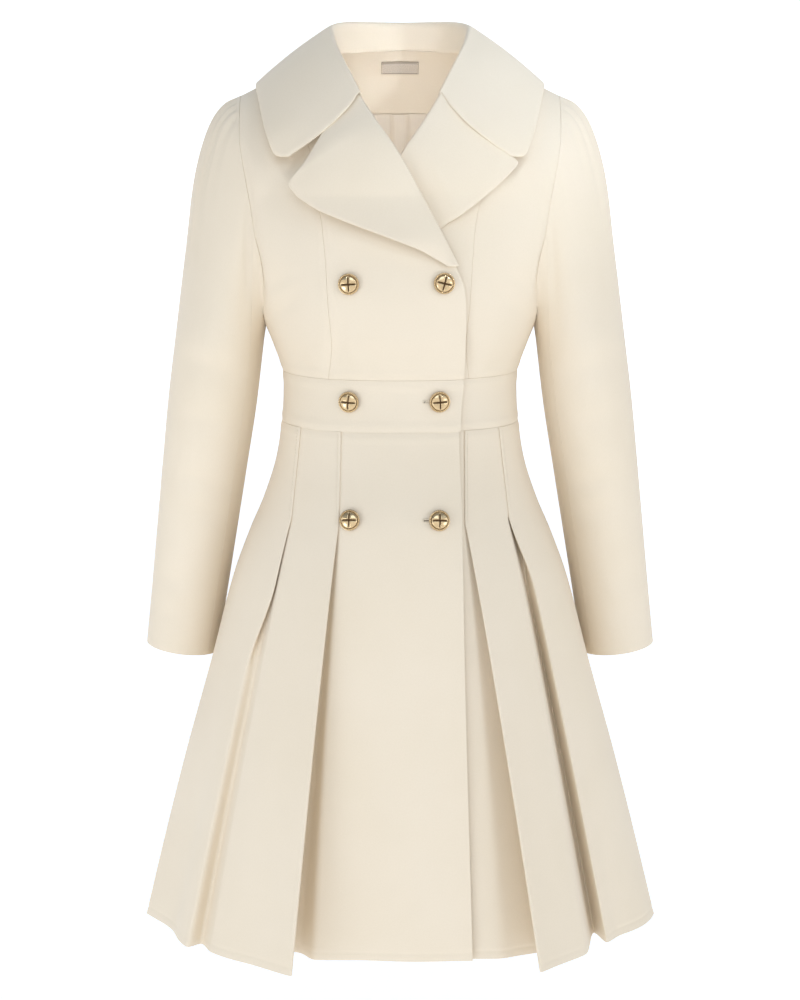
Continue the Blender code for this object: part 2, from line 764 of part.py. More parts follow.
def make_neck_inside(cloth, lining, tape):
    facing_depth = CLOTH + INSIDE_GAP
    label_depth = facing_depth + THIN_CLOTH + LABEL_GAP

    def neckline(x):
        return row_height(neck_share(x), x) - 2 * SEAM

    inside_piece("neck_facing", FACING_HALF, FACING_BOTTOM, neckline, facing_depth, THIN_CLOTH,
                 FACING_COLUMNS, INSIDE_ROWS, cloth)
    inside_piece("back_lining", LINING_HALF, LINING_BOTTOM, lambda x: FACING_BOTTOM - SEAM,
                 facing_depth, THIN_CLOTH, LINING_COLUMNS, INSIDE_ROWS, lining, ease_pleat)
    inside_piece("label", LABEL_HALF, LABEL_BOTTOM, lambda x: LABEL_TOP, label_depth, LABEL_THICKNESS,
                 LABEL_COLUMNS, LABEL_ROWS, tape)


def make_button(name, across, height, material):
    """A turned dome with a raised rim, lying on the right front."""
    outline = bpy.data.meshes.new(name + "_profile")
    points = [(radius * MM, 0.0, rise * MM) for radius, rise in BUTTON_PROFILE]
    outline.from_pydata(points, [(i, i + 1) for i in range(len(points) - 1)], [])
    turned = bpy.data.objects.new(name + "_turned", outline)
    coat.objects.link(turned)
    screw = turned.modifiers.new("Turn", "SCREW")
    screw.steps = BUTTON_SIDES
    screw.render_steps = BUTTON_SIDES
    screw.use_merge_vertices = True
    screw.merge_threshold = MERGE_WITHIN
    bpy.context.view_layer.update()
    mesh = bpy.data.meshes.new_from_object(turned.evaluated_get(bpy.context.evaluated_depsgraph_get()))
    bpy.data.objects.remove(turned)
    x = -across
    out = lift_of(RIGHT, across, height) + BUTTON_GAP
    here = body_point(x, height, out)
    along = body_point(x + BUTTON_STEP, height, out) - here
    up = body_point(x, height + BUTTON_STEP, out) - here
    normal = along.cross(up).normalized()
    turn = Vector((0, 0, 1)).rotation_difference(normal).to_matrix().to_4x4()
    turn.translation = here * MM
    mesh.transform(turn)
    return add_object(name, mesh, material)


def make_buttons(metal):
    for row, height in BUTTON_ROWS.items():
        for column, across in BUTTON_COLUMNS.items():
            make_button(f"button_{row}_{column}", across, height, metal)


for old in list(bpy.data.objects):
    bpy.data.objects.remove(old, do_unlink=True)
coat = bpy.data.collections.new("long_coat")
bpy.context.scene.collection.children.link(coat)

ivory = make_material("ivory_coating", (0.85, 0.79, 0.68), 0.85, 0.0)
lining_cloth = make_material("cream_lining", (0.78, 0.70, 0.57), 0.5, 0.0)
label_tape = make_material("woven_tape", (0.82, 0.77, 0.68), 0.8, 0.0)
gold = make_material("gold_metal", (0.83, 0.58, 0.24), 0.2, 1.0)

make_bodice(ivory)
make_skirt(ivory)
make_sleeves(ivory)
make_lapels(ivory)
make_collar(ivory)
make_neck_inside(ivory, lining_cloth, label_tape)
make_buttons(gold)
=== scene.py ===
"""A long double-breasted coat of ivory coating, filled out as worn, with a pleated skirt.

Sizes are in millimetres and become metres when a mesh is made. The coat faces -Y, and the wearer's
right is towards -X. "Across" is the distance from the centre line towards a piece's own side.
"""
import math
from collections import namedtuple

import bpy
import numpy as np
from mathutils import Matrix, Vector


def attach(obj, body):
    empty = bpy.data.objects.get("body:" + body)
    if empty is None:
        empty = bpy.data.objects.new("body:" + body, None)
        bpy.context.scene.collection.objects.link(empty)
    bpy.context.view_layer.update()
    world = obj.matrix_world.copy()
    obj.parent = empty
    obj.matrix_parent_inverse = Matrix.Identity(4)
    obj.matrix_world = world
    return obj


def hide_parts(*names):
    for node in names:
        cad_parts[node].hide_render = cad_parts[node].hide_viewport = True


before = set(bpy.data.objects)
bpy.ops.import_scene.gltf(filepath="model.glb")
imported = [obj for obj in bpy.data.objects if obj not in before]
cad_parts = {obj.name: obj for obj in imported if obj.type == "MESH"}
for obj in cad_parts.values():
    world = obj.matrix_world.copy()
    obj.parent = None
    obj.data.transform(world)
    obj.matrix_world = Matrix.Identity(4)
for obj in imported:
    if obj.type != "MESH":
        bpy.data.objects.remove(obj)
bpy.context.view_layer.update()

# Driving sizes
MM = 0.001
RIGHT = -1
LEFT = 1
SIDES = {"right": RIGHT, "left": LEFT}
CLOTH = 2.0
SKIRT_CLOTH = 1.25
HEM = -916.0
PLEATS_OPEN = -445.0
BAND_BOTTOM = -349.0
BAND_TOP = -294.0
UNDERARM = -247.0
SHOULDER_START = -100.0
NECK_ACROSS = 72.0
NECK_HEIGHT = 48.0
SHOULDER_SLOPE = 0.495
SHOULDER_SEAM_Y = 12.0
FRONT_ROUNDING = 1.7
BACK_ROUNDING = 2.4
BACK_NECK_RISE = 2.0
EDGE_ROUNDS = 40

# The right front laps over the left one: how far it stands off, the distances across between which
# that goes, the heights between which it grows over the hidden lapel, and those where it fades out
BREAK_HEIGHT = -179.0
LAP = 5.0
LAP_OVER_LAPEL = 7.0
LAP_FULL = 66.0
LAP_GONE = 124.0
LAP_GROWS = (-175.0, -135.0)
LAP_FADES = (-55.0, 0.0)
UNDERLAP = -30.0

# The body, from the hem up: half width, depth before and behind the side, squareness of the section
Section = namedtuple("Section", "height half_width front back squareness")
BODY = [
    Section(-916, 288, 176, 174, 2.10),
    Section(-820, 264, 171, 166, 2.10),
    Section(-720, 238, 164, 157, 2.10),
    Section(-617, 209, 155, 146, 2.10),
    Section(-523, 184, 144, 132, 2.12),
    Section(-471, 165, 135, 122, 2.14),
    Section(-436, 150, 127, 114, 2.16),
    Section(-393, 136, 115, 104, 2.20),
    Section(-349, 129, 106, 96, 2.30),
    Section(-320, 127, 104, 94, 2.30),
    Section(-294, 128, 106, 95, 2.30),
    Section(-270, 136, 112, 99, 2.30),
    Section(-247, 145, 118, 104, 2.30),
    Section(-200, 166, 124, 109, 2.30),
    Section(-150, 186, 120, 112, 2.30),
    Section(-100, 197, 109, 112, 2.30),
]

# Edges and seams of the panels, as the distance across at a height
Edge = namedtuple("Edge", "height across")
FRONT_EDGE = [
    Edge(-916, -78), Edge(-623, -69), Edge(-436, -65),
    Edge(-337, -62), Edge(-294, -65), Edge(-225, -67), Edge(-196, -65), Edge(-179, -59),
]
ROLL_LINE = [
    Edge(-179, -59), Edge(-160, -49), Edge(-118, -28), Edge(-63, 2), Edge(-7, 40), Edge(48, 72),
]
PRINCESS_SEAM = [
    Edge(-294, 73), Edge(-256, 70), Edge(-210, 73),
    Edge(-134, 78), Edge(-106, 84), Edge(25, 118),
]
ARMHOLE = [Edge(-247, 145), Edge(-190, 151), Edge(-135, 158), Edge(-50, 169), Edge(0, 171)]

# Knife pleats: where the fold stands at the band, where it opens and at the hem, how far it stands
# proud and how deep the cloth under it lies at the hem, the power by which it deepens on the way there,
# how far that cloth reaches under the fold, and how far out the panel beside it lies where it turns in,
# and the width in which it turns
Pleat = namedtuple("Pleat", "face side at_band at_open at_hem proud depth bow under edge turn_in")
PLEATS = [
    Pleat("front", RIGHT, 63, 65, 117, 36, 38, 0.95, 20, -18, 27),
    Pleat("front", RIGHT, 106, 116, 216, 2, 21, 0.62, 16, -3, 12),
    Pleat("front", LEFT, 69, 69, 151, 36, 24, 0.8, 20, -18, 48),
    Pleat("front", LEFT, 106, 117, 214, -14, 58, 0.45, 16, 2, 13),
    Pleat("back", RIGHT, 60, 64, 132, 28, 26, 0.8, 18, -18, 36),
    Pleat("back", RIGHT, 104, 114, 212, -4, 42, 0.62, 18, 0, 12),
    Pleat("back", LEFT, 60, 64, 132, 28, 32, 0.9, 18, -18, 30),
    Pleat("back", LEFT, 104, 114, 212, 10, 30, 0.62, 18, -8, 24),
]
TURN_IN_TOP = 4.0
STRIP_FLOOR = 0.72
FAR_AT_TOP = 0.6

# The outer folds fall open further down: the width of the panel that turns in on the far side, and the
# shares of the way from the pleat's opening to the hem where that starts and where it is done
OpenFold = namedtuple("OpenFold", "far start done")
OPEN_FOLDS = {
    ("front", RIGHT): OpenFold(18, 0.14, 0.36),
    ("front", LEFT): OpenFold(15, 0.0, 0.16),
    ("back", RIGHT): OpenFold(7, 0.0, 0.30),
    ("back", LEFT): OpenFold(9, 0.20, 0.60),
}
PLEAT_FLAT = 0.85
PLEAT_FLAT_REACH = 10.0
PLEAT_GAP_AT_HEM = 6.0
FOLD_BOW = 0.9
CENTRE_FLATNESS = 18.0
CENTRE_BOW = 10.0
CENTRE_BOW_HALF = 112.0
SIDE_FLATNESS = {("front", RIGHT): 0.62, ("front", LEFT): 0.2, ("back", RIGHT): 0.3, ("back", LEFT): 0.3}

# Sleeve rings from the cuff up to the biceps: inner and outer edge across, half depth, middle, lean
Ring = namedtuple("Ring", "height inner outer half_depth middle lean")
SLEEVE = [
    Ring(-616, 206, 286, 48, 52, 0.14),
    Ring(-540, 193, 277, 50, 40, 0.14),
    Ring(-470, 181, 269, 53, 28, 0.14),
    Ring(-400, 169, 261, 56, 16, 0.13),
    Ring(-330, 157, 253, 60, 6, 0.10),
    Ring(-262, 148, 244, 64, 0, 0.05),
]
# Sleeve head: share of the way from armhole to biceps, how far it puffs out
Head = namedtuple("Head", "share puff")
SLEEVE_HEAD = [Head(0.0, 0), Head(0.03, 14), Head(0.12, 25), Head(0.31, 27), Head(0.62, 15), Head(1.0, 0)]
PUFF_ROUNDNESS = 1.5
PUFF_RISE = 0.12
ARMHOLE_GAP = 0.35
ARMHOLE_ROWS = [UNDERARM, -213.0, BREAK_HEIGHT, -140.0, SHOULDER_START]
HEAD_STEPS = 9
UNDER_SLEEVE_STEPS = 3

# Lapels: roll line point and outer edge point, from the break up to the gorge seam
LapelRow = namedtuple("LapelRow", "roll_height edge_across edge_height")
RIGHT_LAPEL = [
    LapelRow(-172, -47, -172),
    LapelRow(-152, -20, -155),
    LapelRow(-128, 14, -140),
    LapelRow(-102, 46, -127),
    LapelRow(-76, 76, -114),
    LapelRow(-50, 97, -101),
    LapelRow(-36, 108, -89),
    LapelRow(-21, 92, -71),
    LapelRow(1, 76, -42),
]
LEFT_LAPEL = [
    LapelRow(-102, 40, -134),
    LapelRow(-76, 66, -114),
    LapelRow(-50, 98, -88),
    LapelRow(-36, 117, -70),
    LapelRow(-21, 101, -57),
    LapelRow(1, 80, -42),
]
# Across a lapel, from inside the roll line to the edge: share of its width, place beyond it, lift
LapelColumn = namedtuple("LapelColumn", "share beyond lift")
LAPEL_COLUMNS = [
    LapelColumn(0.0, -3.4, -1.5),
    LapelColumn(0.0, -3.6, 1.4),
    LapelColumn(0.0, -0.6, 4.4),
    LapelColumn(0.16, 0.0, 7.2),
    LapelColumn(0.42, 0.0, 9.6),
    LapelColumn(0.72, 0.0, 11.0),
    LapelColumn(1.0, 0.0, 11.6),
]
COVERED_LIFT = 3.2
COVERED_UNTIL = 6.0
UNCOVERED_FROM = 34.0

# Collar stations from the gorge seam round to the centre back: neck seam, roll line, middle of the
# fall and outer edge, as points on the wearer's left
Station = namedtuple("Station", "seam roll middle edge")
COLLAR = [
    Station((40.3, -72, 1.5), (40.5, -78, 5), (76, -98, -31), (127, -97, -67)),
    Station((51.3, -51.5, 21), (51.8, -57, 27), (98, -75, -8), (139, -79, -38)),
    Station((61.8, -26, 38), (62.5, -30, 47), (108, -36, 26), (148, -42, -8)),
    Station((69.4, 10, 45.5), (70.5, 9, 69), (114, 8, 46), (154, 4, 13)),
    Station((66.0, 30, 44.8), (67.5, 29, 75), (106, 46, 46), (146, 40, 8)),
    Station((52.4, 49.8, 45), (53, 48, 77.5), (84, 74, 43), (114, 82, 0)),
    Station((30.6, 64.6, 45.3), (31, 63, 77.5), (48, 92, 41), (64, 104, -9)),
    Station((0, 75.8, 45.6), (0, 74, 77), (0, 102, 41), (0, 112, -12)),
]
COLLAR_CLEAR = 6.0
FOLD_RADIUS = 5.0


def smooth(rows, field, at, key="height"):
    """A column of a table at any place, on a smooth curve through its rows."""
    places = np.array([getattr(row, key) for row in rows], float)
    values = np.array([getattr(row, field) for row in rows], float)
    at = np.clip(at, places[0], places[-1])
    last = len(places) - 1
    behind = np.maximum(np.arange(last + 1) - 1, 0)
    ahead = np.minimum(np.arange(last + 1) + 1, last)
    slopes = (values[ahead] - values[behind]) / (places[ahead] - places[behind])
    here = np.clip(np.searchsorted(places, at, "right") - 1, 0, last - 1)
    span = places[here + 1] - places[here]
    t = (at - places[here]) / span
    rest = (1 - t) ** 2
    start = (1 + 2 * t) * rest * values[here] + t * rest * span * slopes[here]
    return start + t * t * ((3 - 2 * t) * values[here + 1] - (1 - t) * span * slopes[here + 1])


def ease(share):
    """From 0 to 1 with a soft start and end."""
    share = np.clip(share, 0.0, 1.0)
    return share * share * (3 - 2 * share)


def between(value, start, end):
    """From 0 at the start to 1 at the end, with a soft start and end."""
    return ease((value - start) / (end - start))


def blend(low, high, share):
    return low + (high - low) * share


def bell(distance, width):
    """1 in the middle, with a soft fall to 0 on both sides."""
    return np.exp(-(distance / width) ** 2)


def even_steps(count):
    """The ends of so many even steps from 0 to 1."""
    return np.linspace(0.0, 1.0, count + 1)[1:]


def shoulder_height(across):
    return NECK_HEIGHT - SHOULDER_SLOPE * (np.abs(across) - NECK_ACROSS)


def row_height(row, across):
    """Rows at or above the shoulder's start are shares of the way up to its seam."""
    return np.where(row < 0, row, blend(SHOULDER_START, shoulder_height(across), row))


def half_width_at(height):
    return smooth(BODY, "half_width", height)


def section_at(height, back):
    """The body's half width, depth and squareness, which stay the same above the shoulder's start."""
    depth = smooth(BODY, "back" if back else "front", height)
    return half_width_at(height), depth, smooth(BODY, "squareness", height)


def body(x, height, out=0.0, back=False):
    """Points on the coat's body, moved out of its surface."""
    x, height, out = np.broadcast_arrays(*(np.asarray(v, float) for v in (x, height, out)))
    half_width, depth, power = section_at(height, back)
    side = np.clip(x / half_width, -1.0, 1.0)
    y = (depth + out) * (1 - np.abs(side) ** power) ** (1 / power)
    seam_y = SHOULDER_SEAM_Y if back else -SHOULDER_SEAM_Y
    rounding = BACK_ROUNDING if back else FRONT_ROUNDING
    rise = np.clip((height - SHOULDER_START) / (shoulder_height(x) - SHOULDER_START), 0.0, 1.0)
    y = np.where(rise > 0, seam_y + (y - seam_y) * (1 - rise ** rounding) ** (1 / rounding), y)
    return np.stack([(half_width + out) * side, y if back else -y, height + out * rise], -1)


def lap_lift(side, across, height):
    """How far a front stands off the body: the right one lies over the left one and its lapel."""
    if side == LEFT:
        return np.zeros(np.broadcast(across, height).shape)
    lap = blend(LAP, LAP_OVER_LAPEL, between(height, *LAP_GROWS))
    return lap * between(height, LAP_FADES[1], LAP_FADES[0]) * between(across, LAP_GONE, LAP_FULL)


def roll_line(height):
    return smooth(ROLL_LINE, "across", height)


def front_edge(height):
    return np.where(height < BREAK_HEIGHT, smooth(FRONT_EDGE, "across", height), roll_line(height))


def princess_seam(height):
    return smooth(PRINCESS_SEAM, "across", height)


def side_edge(height):
    """The side seam, and above the underarm the armhole."""
    return np.where(height <= UNDERARM, half_width_at(height), smooth(ARMHOLE, "across", height))


def edge_on_rows(edge, rows):
    """Where an edge crosses rows that slope with the shoulder, found in rounds."""
    across = np.zeros(len(rows))
    for _ in range(EDGE_ROUNDS):
        across = edge(row_height(rows, across))
    return across


# Cloth walls: steps round a rim, how far a sewn or a free one bulges as a share of half the cloth's
# thickness, and the angle from which a sewn one is a sharp corner
RIM_STEPS = 3
SEAM_RIM = 0.35
FREE_RIM = 1.0
SEAM_CORNER = math.radians(48.0)
IN_THE_MIDDLE = 0.5
LEVEL_AXES = (True, True, False)
TINY = 1e-9


def unit(vectors):
    return vectors / np.maximum(np.linalg.norm(vectors, axis=-1, keepdims=True), TINY)


def facing_out(grid, centre):
    """The grid with its columns turned round where its face would look at the centre."""
    across, up = np.gradient(grid, axis=1), np.gradient(grid, axis=0)
    normals = np.cross(across, up)
    return grid if np.sum(normals * (grid - centre)) > 0 else grid[:, ::-1]


def soften(grid, passes, axis):
    """Evens a grid out along one axis; its ends stay."""
    grid = np.moveaxis(grid.copy(), axis, 0)
    for _ in range(passes):
        grid[1:-1] = (grid[:-2] + 2 * grid[1:-1] + grid[2:]) / 4
    return np.moveaxis(grid, 0, axis)


def put(name, data):
    """A new object in the scene, with a mesh, a lamp or a camera."""
    thing = bpy.data.objects.new(name, data)
    bpy.context.scene.collection.objects.link(thing)
    return thing


def add_piece(name, points, faces, material, uv=None):
    """A mesh object from points in millimetres, at the origin."""
    mesh = bpy.data.meshes.new(name)
    mesh.from_pydata((np.asarray(points) * MM).tolist(), [], faces)
    if uv is not None:
        layer = mesh.uv_layers.new(name="cloth")
        corners = np.empty(len(mesh.loops), np.int32)
        mesh.loops.foreach_get("vertex_index", corners)
        layer.data.foreach_set("uv", (np.asarray(uv) * MM)[corners].ravel())
    mesh.materials.append(material)
    mesh.shade_smooth()
    return put(name, mesh)


def border_of(rows, columns):
    """The grid's border as (row, column) pairs, once round."""
    pairs = [(0, j) for j in range(columns - 1)]
    pairs += [(i, columns - 1) for i in range(rows - 1)]
    pairs += [(rows - 1, j) for j in range(columns - 1, 0, -1)]
    pairs += [(i, 0) for i in range(rows - 1, 0, -1)]
    return np.array(pairs)


def cloth_wall(name, grid, material, centre=None, thickness=CLOTH, outside=0.0, rim=SEAM_RIM):
    """A closed cloth wall with a rounded rim. The grid is its outer face, or lies inside it by a share.

    Its outer face looks away from the centre, which is the coat's middle line unless points are given.
    """
    grid = facing_out(grid, np.where(LEVEL_AXES, 0.0, grid) if centre is None else centre)
    rows, columns = grid.shape[:2]
    along, up = np.gradient(grid, axis=1), np.gradient(grid, axis=0)
    normals = unit(np.cross(along, up))
    middle = grid + normals * thickness * (outside - IN_THE_MIDDLE)
    steps_across = np.linalg.norm(np.diff(grid, axis=1), axis=-1)
    steps_up = np.linalg.norm(np.diff(grid, axis=0), axis=-1)
    u = np.concatenate([np.zeros((rows, 1)), np.cumsum(steps_across, axis=1)], axis=1)
    v = np.concatenate([np.zeros((1, columns)), np.cumsum(steps_up, axis=0)], axis=0)
    uv = np.stack([u - u.mean(), v], -1).reshape(-1, 2)

    border = border_of(rows, columns)
    i, j = border[:, 0], border[:, 1]
    outward = np.zeros((len(border), 3))
    outward -= unit(along[i, j]) * (j == 0)[:, None]
    outward += unit(along[i, j]) * (j == columns - 1)[:, None]
    outward -= unit(up[i, j]) * (i == 0)[:, None]
    outward += unit(up[i, j]) * (i == rows - 1)[:, None]
    outward = unit(outward)
    layers = [(middle + normals * face * thickness / 2).reshape(-1, 3) for face in (1, -1)]
    for step in range(1, RIM_STEPS):
        turn = math.pi * step / RIM_STEPS
        bulge = normals[i, j] * math.cos(turn) + outward * math.sin(turn) * rim
        layers.append(middle[i, j] + bulge * thickness / 2)
    points = np.concatenate(layers)

    number = np.arange(rows * columns).reshape(rows, columns)
    quads = np.stack([number[:-1, :-1], number[:-1, 1:], number[1:, 1:], number[1:, :-1]], -1).reshape(-1, 4)
    faces = [quads, quads[:, ::-1] + rows * columns]
    rim_points = 2 * rows * columns + np.arange(len(border))
    loops = [number[i, j]]
    loops += [rim_points + step * len(border) for step in range(RIM_STEPS - 1)]
    loops += [number[i, j] + rows * columns]
    for over, under in zip(loops, loops[1:]):
        faces.append(np.stack([np.roll(over, -1), over, under, np.roll(under, -1)], -1))
    all_uv = np.concatenate([uv, uv] + [uv[number[i, j]]] * (RIM_STEPS - 1))
    piece = add_piece(name, points, np.concatenate(faces).tolist(), material, all_uv)
    if rim == SEAM_RIM:
        piece.data.set_sharp_from_angle(angle=SEAM_CORNER)
    return piece


# Soft creases: from one point across and up to another, width, depth inwards
Crease = namedtuple("Crease", "across height to_across to_height width depth")


def crease_depth(across, height, creases):
    """How far soft troughs, or ridges where the depth is negative, move the cloth in at each point."""
    total = np.zeros(np.broadcast(across, height).shape)
    for crease in creases:
        run = np.array([crease.to_across - crease.across, crease.to_height - crease.height], float)
        length = np.hypot(*run)
        run /= length
        du, dv = across - crease.across, height - crease.height
        along = (du * run[0] + dv * run[1]) / length
        aside = dv * run[0] - du * run[1]
        fade = np.sin(math.pi * np.clip(along, 0.0, 1.0))
        total += crease.depth * bell(aside, crease.width) * fade
    return total


# The bodice and the waistband: a seam's groove and the swelling beside it, the share of both at the
# princess seams, and the room between two pieces at a seam
SEAM_DIP = 0.5
SEAM_WIDTH = 2.8
SEAM_SWELL = 0.4
SEAM_SWELL_AT = 7.0
SEAM_SWELL_WIDTH = 4.0
PRINCESS_SHARE = 0.35
SEAM_ROOM = 0.20
BODICE_STEPS = 90
SHOULDER_STEPS = 48
BAND_STEPS = 31
BACK_COLUMNS = 96
BODICE_ROWS = np.concatenate([
    np.linspace(BAND_TOP, SHOULDER_START, BODICE_STEPS)[:-1],
    np.sin(np.linspace(0.0, math.pi / 2, SHOULDER_STEPS)),
])
BAND_ROWS = np.linspace(BAND_BOTTOM, BAND_TOP, BAND_STEPS)
FRONT_CREASES = [
    Crease(74, -300, 60, -225, 9, 1.6),
    Crease(52, -300, 66, -238, 8, 1.2),
    Crease(150, -238, 96, -196, 10, 1.6),
    Crease(152, -205, 104, -178, 9, 1.2),
    Crease(20, -296, 30, -250, 10, 0.9),
    Crease(118, -262, 88, -290, 8, 1.2),
    Crease(112, -40, 150, -120, 10, 1.4),
    Crease(126, -76, 74, -36, 12, 10.0),
    Crease(169, -50, 147, -228, 7, 4.5),
    Crease(157, -145, 147, -228, 6, 4.5),
]
BACK_CREASES = [
    Crease(20, -296, 34, -232, 10, 1.4),
    Crease(70, -296, 92, -222, 10, 1.8),
    Crease(128, -240, 96, -168, 12, 2.0),
    Crease(140, -180, 100, -120, 11, 1.6),
    Crease(-30, -296, -46, -240, 10, 1.3),
    Crease(-76, -296, -94, -230, 9, 1.7),
    Crease(-130, -236, -100, -160, 12, 1.9),
    Crease(0, -120, 0, -20, 14, 0.9),
]


def seam_dip(distance):
    """The groove of a seam, and the soft swelling of the cloth on both sides of it."""
    swelling = bell(np.abs(distance) - SEAM_SWELL_AT, SEAM_SWELL_WIDTH)
    return SEAM_DIP * bell(distance, SEAM_WIDTH) - SEAM_SWELL * swelling


def band_dip(height):
    """The grooves of the waistband's two seams."""
    return seam_dip(height - BAND_TOP) + seam_dip(height - BAND_BOTTOM)


def leave_seam_room(grid, rows):
    """Ends a panel short of its seams at the bottom and, below the shoulder, at the top."""
    grid[0, :, 2] += SEAM_ROOM
    if rows[-1] < 0:
        grid[-1, :, 2] -= SEAM_ROOM


def panel_points(panel):
    """The distance across and the height of every point of a panel between its two edges."""
    rows = panel.rows
    start, end = edge_on_rows(panel.inner_edge, rows), edge_on_rows(panel.outer_edge, rows)
    half_width = half_width_at(row_height(rows, end))
    at_side = end > half_width - SEAM_ROOM
    first = np.arcsin(np.clip((start + SEAM_ROOM) / half_width, -1, 1))
    last = np.arcsin(np.clip(np.where(at_side, end, end - SEAM_ROOM) / half_width, -1, 1))
    share = np.linspace(0.0, 1.0, panel.columns)
    across = half_width[:, None] * np.sin(blend(first[:, None], last[:, None], share))
    return across, row_height(rows[:, None], across)


def front_panel(name, side, panel, material):
    across, height = panel_points(panel)
    out = lap_lift(side, across, height) - crease_depth(across, height, FRONT_CREASES)
    if panel.rows is BODICE_ROWS:
        out -= PRINCESS_SHARE * seam_dip(across - princess_seam(height))
    grid = body(side * across, height, out - band_dip(height))
    leave_seam_room(grid, panel.rows)
    at_side = across > half_width_at(height) - SEAM_ROOM
    grid[..., 1] -= np.where(at_side, SEAM_ROOM, 0.0)
    return cloth_wall(name, grid, material)


def neck_share(x):
    """How far up towards the shoulder line the back reaches: between the shoulders it ends level."""
    neckline = NECK_HEIGHT + BACK_NECK_RISE * (1 - (x / NECK_ACROSS) ** 2)
    share = (neckline - SHOULDER_START) / (shoulder_height(x) - SHOULDER_START)
    return np.where(np.abs(x) > NECK_ACROSS, 1.0, share)


def back_panel(name, rows, material):
    end = edge_on_rows(side_edge, rows)
    half_width = half_width_at(row_height(rows, end))
    limit = np.where(end > half_width - SEAM_ROOM, end, end - SEAM_ROOM)
    turn = np.arcsin(np.clip(limit / half_width, -1, 1))
    x = half_width[:, None] * np.sin(turn[:, None] * np.linspace(-1.0, 1.0, BACK_COLUMNS))
    row = np.where(rows[:, None] > 0, rows[:, None] * neck_share(x), rows[:, None])
    height = row_height(row, x)
    grid = body(x, height, -crease_depth(x, height, BACK_CREASES) - band_dip(height), back=True)
    leave_seam_room(grid, rows)
    grid[:, [0, -1], 1] += SEAM_ROOM
    return cloth_wall(name, grid, material)


Panel = namedtuple("Panel", "name inner_edge outer_edge rows columns")
FRONT_PANELS = [
    Panel("front", front_edge, princess_seam, BODICE_ROWS, 72),
    Panel("side_front", princess_seam, side_edge, BODICE_ROWS, 48),
    Panel("band", front_edge, side_edge, BAND_ROWS, 100),
]


def make_bodice(cloth):
    pieces = {}
    for word, side in SIDES.items():
        for panel in FRONT_PANELS:
            node = f"{panel.name}_{word}"
            pieces[node] = front_panel(f"{node}_cloth", side, panel, cloth)
    pieces["back_bodice"] = back_panel("back_bodice_cloth", BODICE_ROWS, cloth)
    pieces["band_back"] = back_panel("band_back_cloth", BAND_ROWS, cloth)
    return pieces


# The skirt: soft waves that grow towards the hem, as places across at the top and at the hem
Wave = namedtuple("Wave", "face side at_top at_hem top width depth")
WAVES = [
    Wave("front", RIGHT, 0, -10, -560, 30, -3.0),
    Wave("front", RIGHT, 30, 44, -520, 26, 3.0),
    Wave("front", RIGHT, 84, 158, -470, 18, 3.5),
    Wave("front", RIGHT, 100, 190, -500, 16, -3.0),
    Wave("front", RIGHT, 140, 262, -500, 18, 2.5),
    Wave("front", LEFT, 84, 172, -480, 18, 3.5),
    Wave("front", LEFT, 100, 196, -520, 14, -2.5),
    Wave("front", LEFT, 138, 246, -500, 18, 3.5),
    Wave("front", LEFT, 10, 30, -600, 30, 2.0),
    Wave("back", RIGHT, 14, 30, -480, 24, 4.0),
    Wave("back", RIGHT, 78, 164, -470, 18, 3.5),
    Wave("back", RIGHT, 136, 250, -520, 20, 4.5),
    Wave("back", LEFT, 22, 52, -540, 26, -4.0),
    Wave("back", LEFT, 82, 172, -480, 16, 4.0),
    Wave("back", LEFT, 140, 256, -490, 18, 4.0),
]
WAVE_WIDTH_AT_TOP = 0.5
# From this share of the half width on, the cloth stands off outwards and not just straight ahead
SIDE_TURN_FROM = 0.76
SIDE_TURN_OVER = 0.22
SEAM_REACH = 20.0
SEAM_STEPS = 11
SKIRT_STEPS = 104
CENTRE_STEPS = 26
BETWEEN_STEPS = 18
STRIP_STEPS = 12
SIDE_STEPS = 25
REACH_STEPS = 5
TURN_STEPS = 5
FOLD_SOFTENING = 3
CENTRE_BACK_SOFTENING = 1
HEM_LINE = 9.0
HEM_LINE_DEPTH = 0.45
HEM_LINE_WIDTH = 1.8
HEM_REACH = 18.0
HEM_STEPS = 13


def down_skirt(height):
    """The share of the way from where the pleats open to the hem."""
    return (PLEATS_OPEN - height) / (PLEATS_OPEN - HEM)


def pleat_at(pleat, height):
    """A pleat's fold, stand, depth, reach and layer gap at a height."""
    if height > PLEATS_OPEN:
        down = (BAND_BOTTOM - height) / (BAND_BOTTOM - PLEATS_OPEN)
        fold = blend(pleat.at_band, pleat.at_open, down)
        return fold, PLEAT_FLAT, PLEAT_FLAT, PLEAT_FLAT_REACH, PLEAT_FLAT
    down = down_skirt(height)
    fold = blend(pleat.at_open, pleat.at_hem, down ** FOLD_BOW)
    proud = blend(PLEAT_FLAT, pleat.proud, down)
    depth = blend(PLEAT_FLAT, pleat.depth, down ** pleat.bow)
    reach = blend(PLEAT_FLAT_REACH, pleat.under, down)
    return fold, proud, depth, reach, blend(PLEAT_FLAT, PLEAT_GAP_AT_HEM, down)


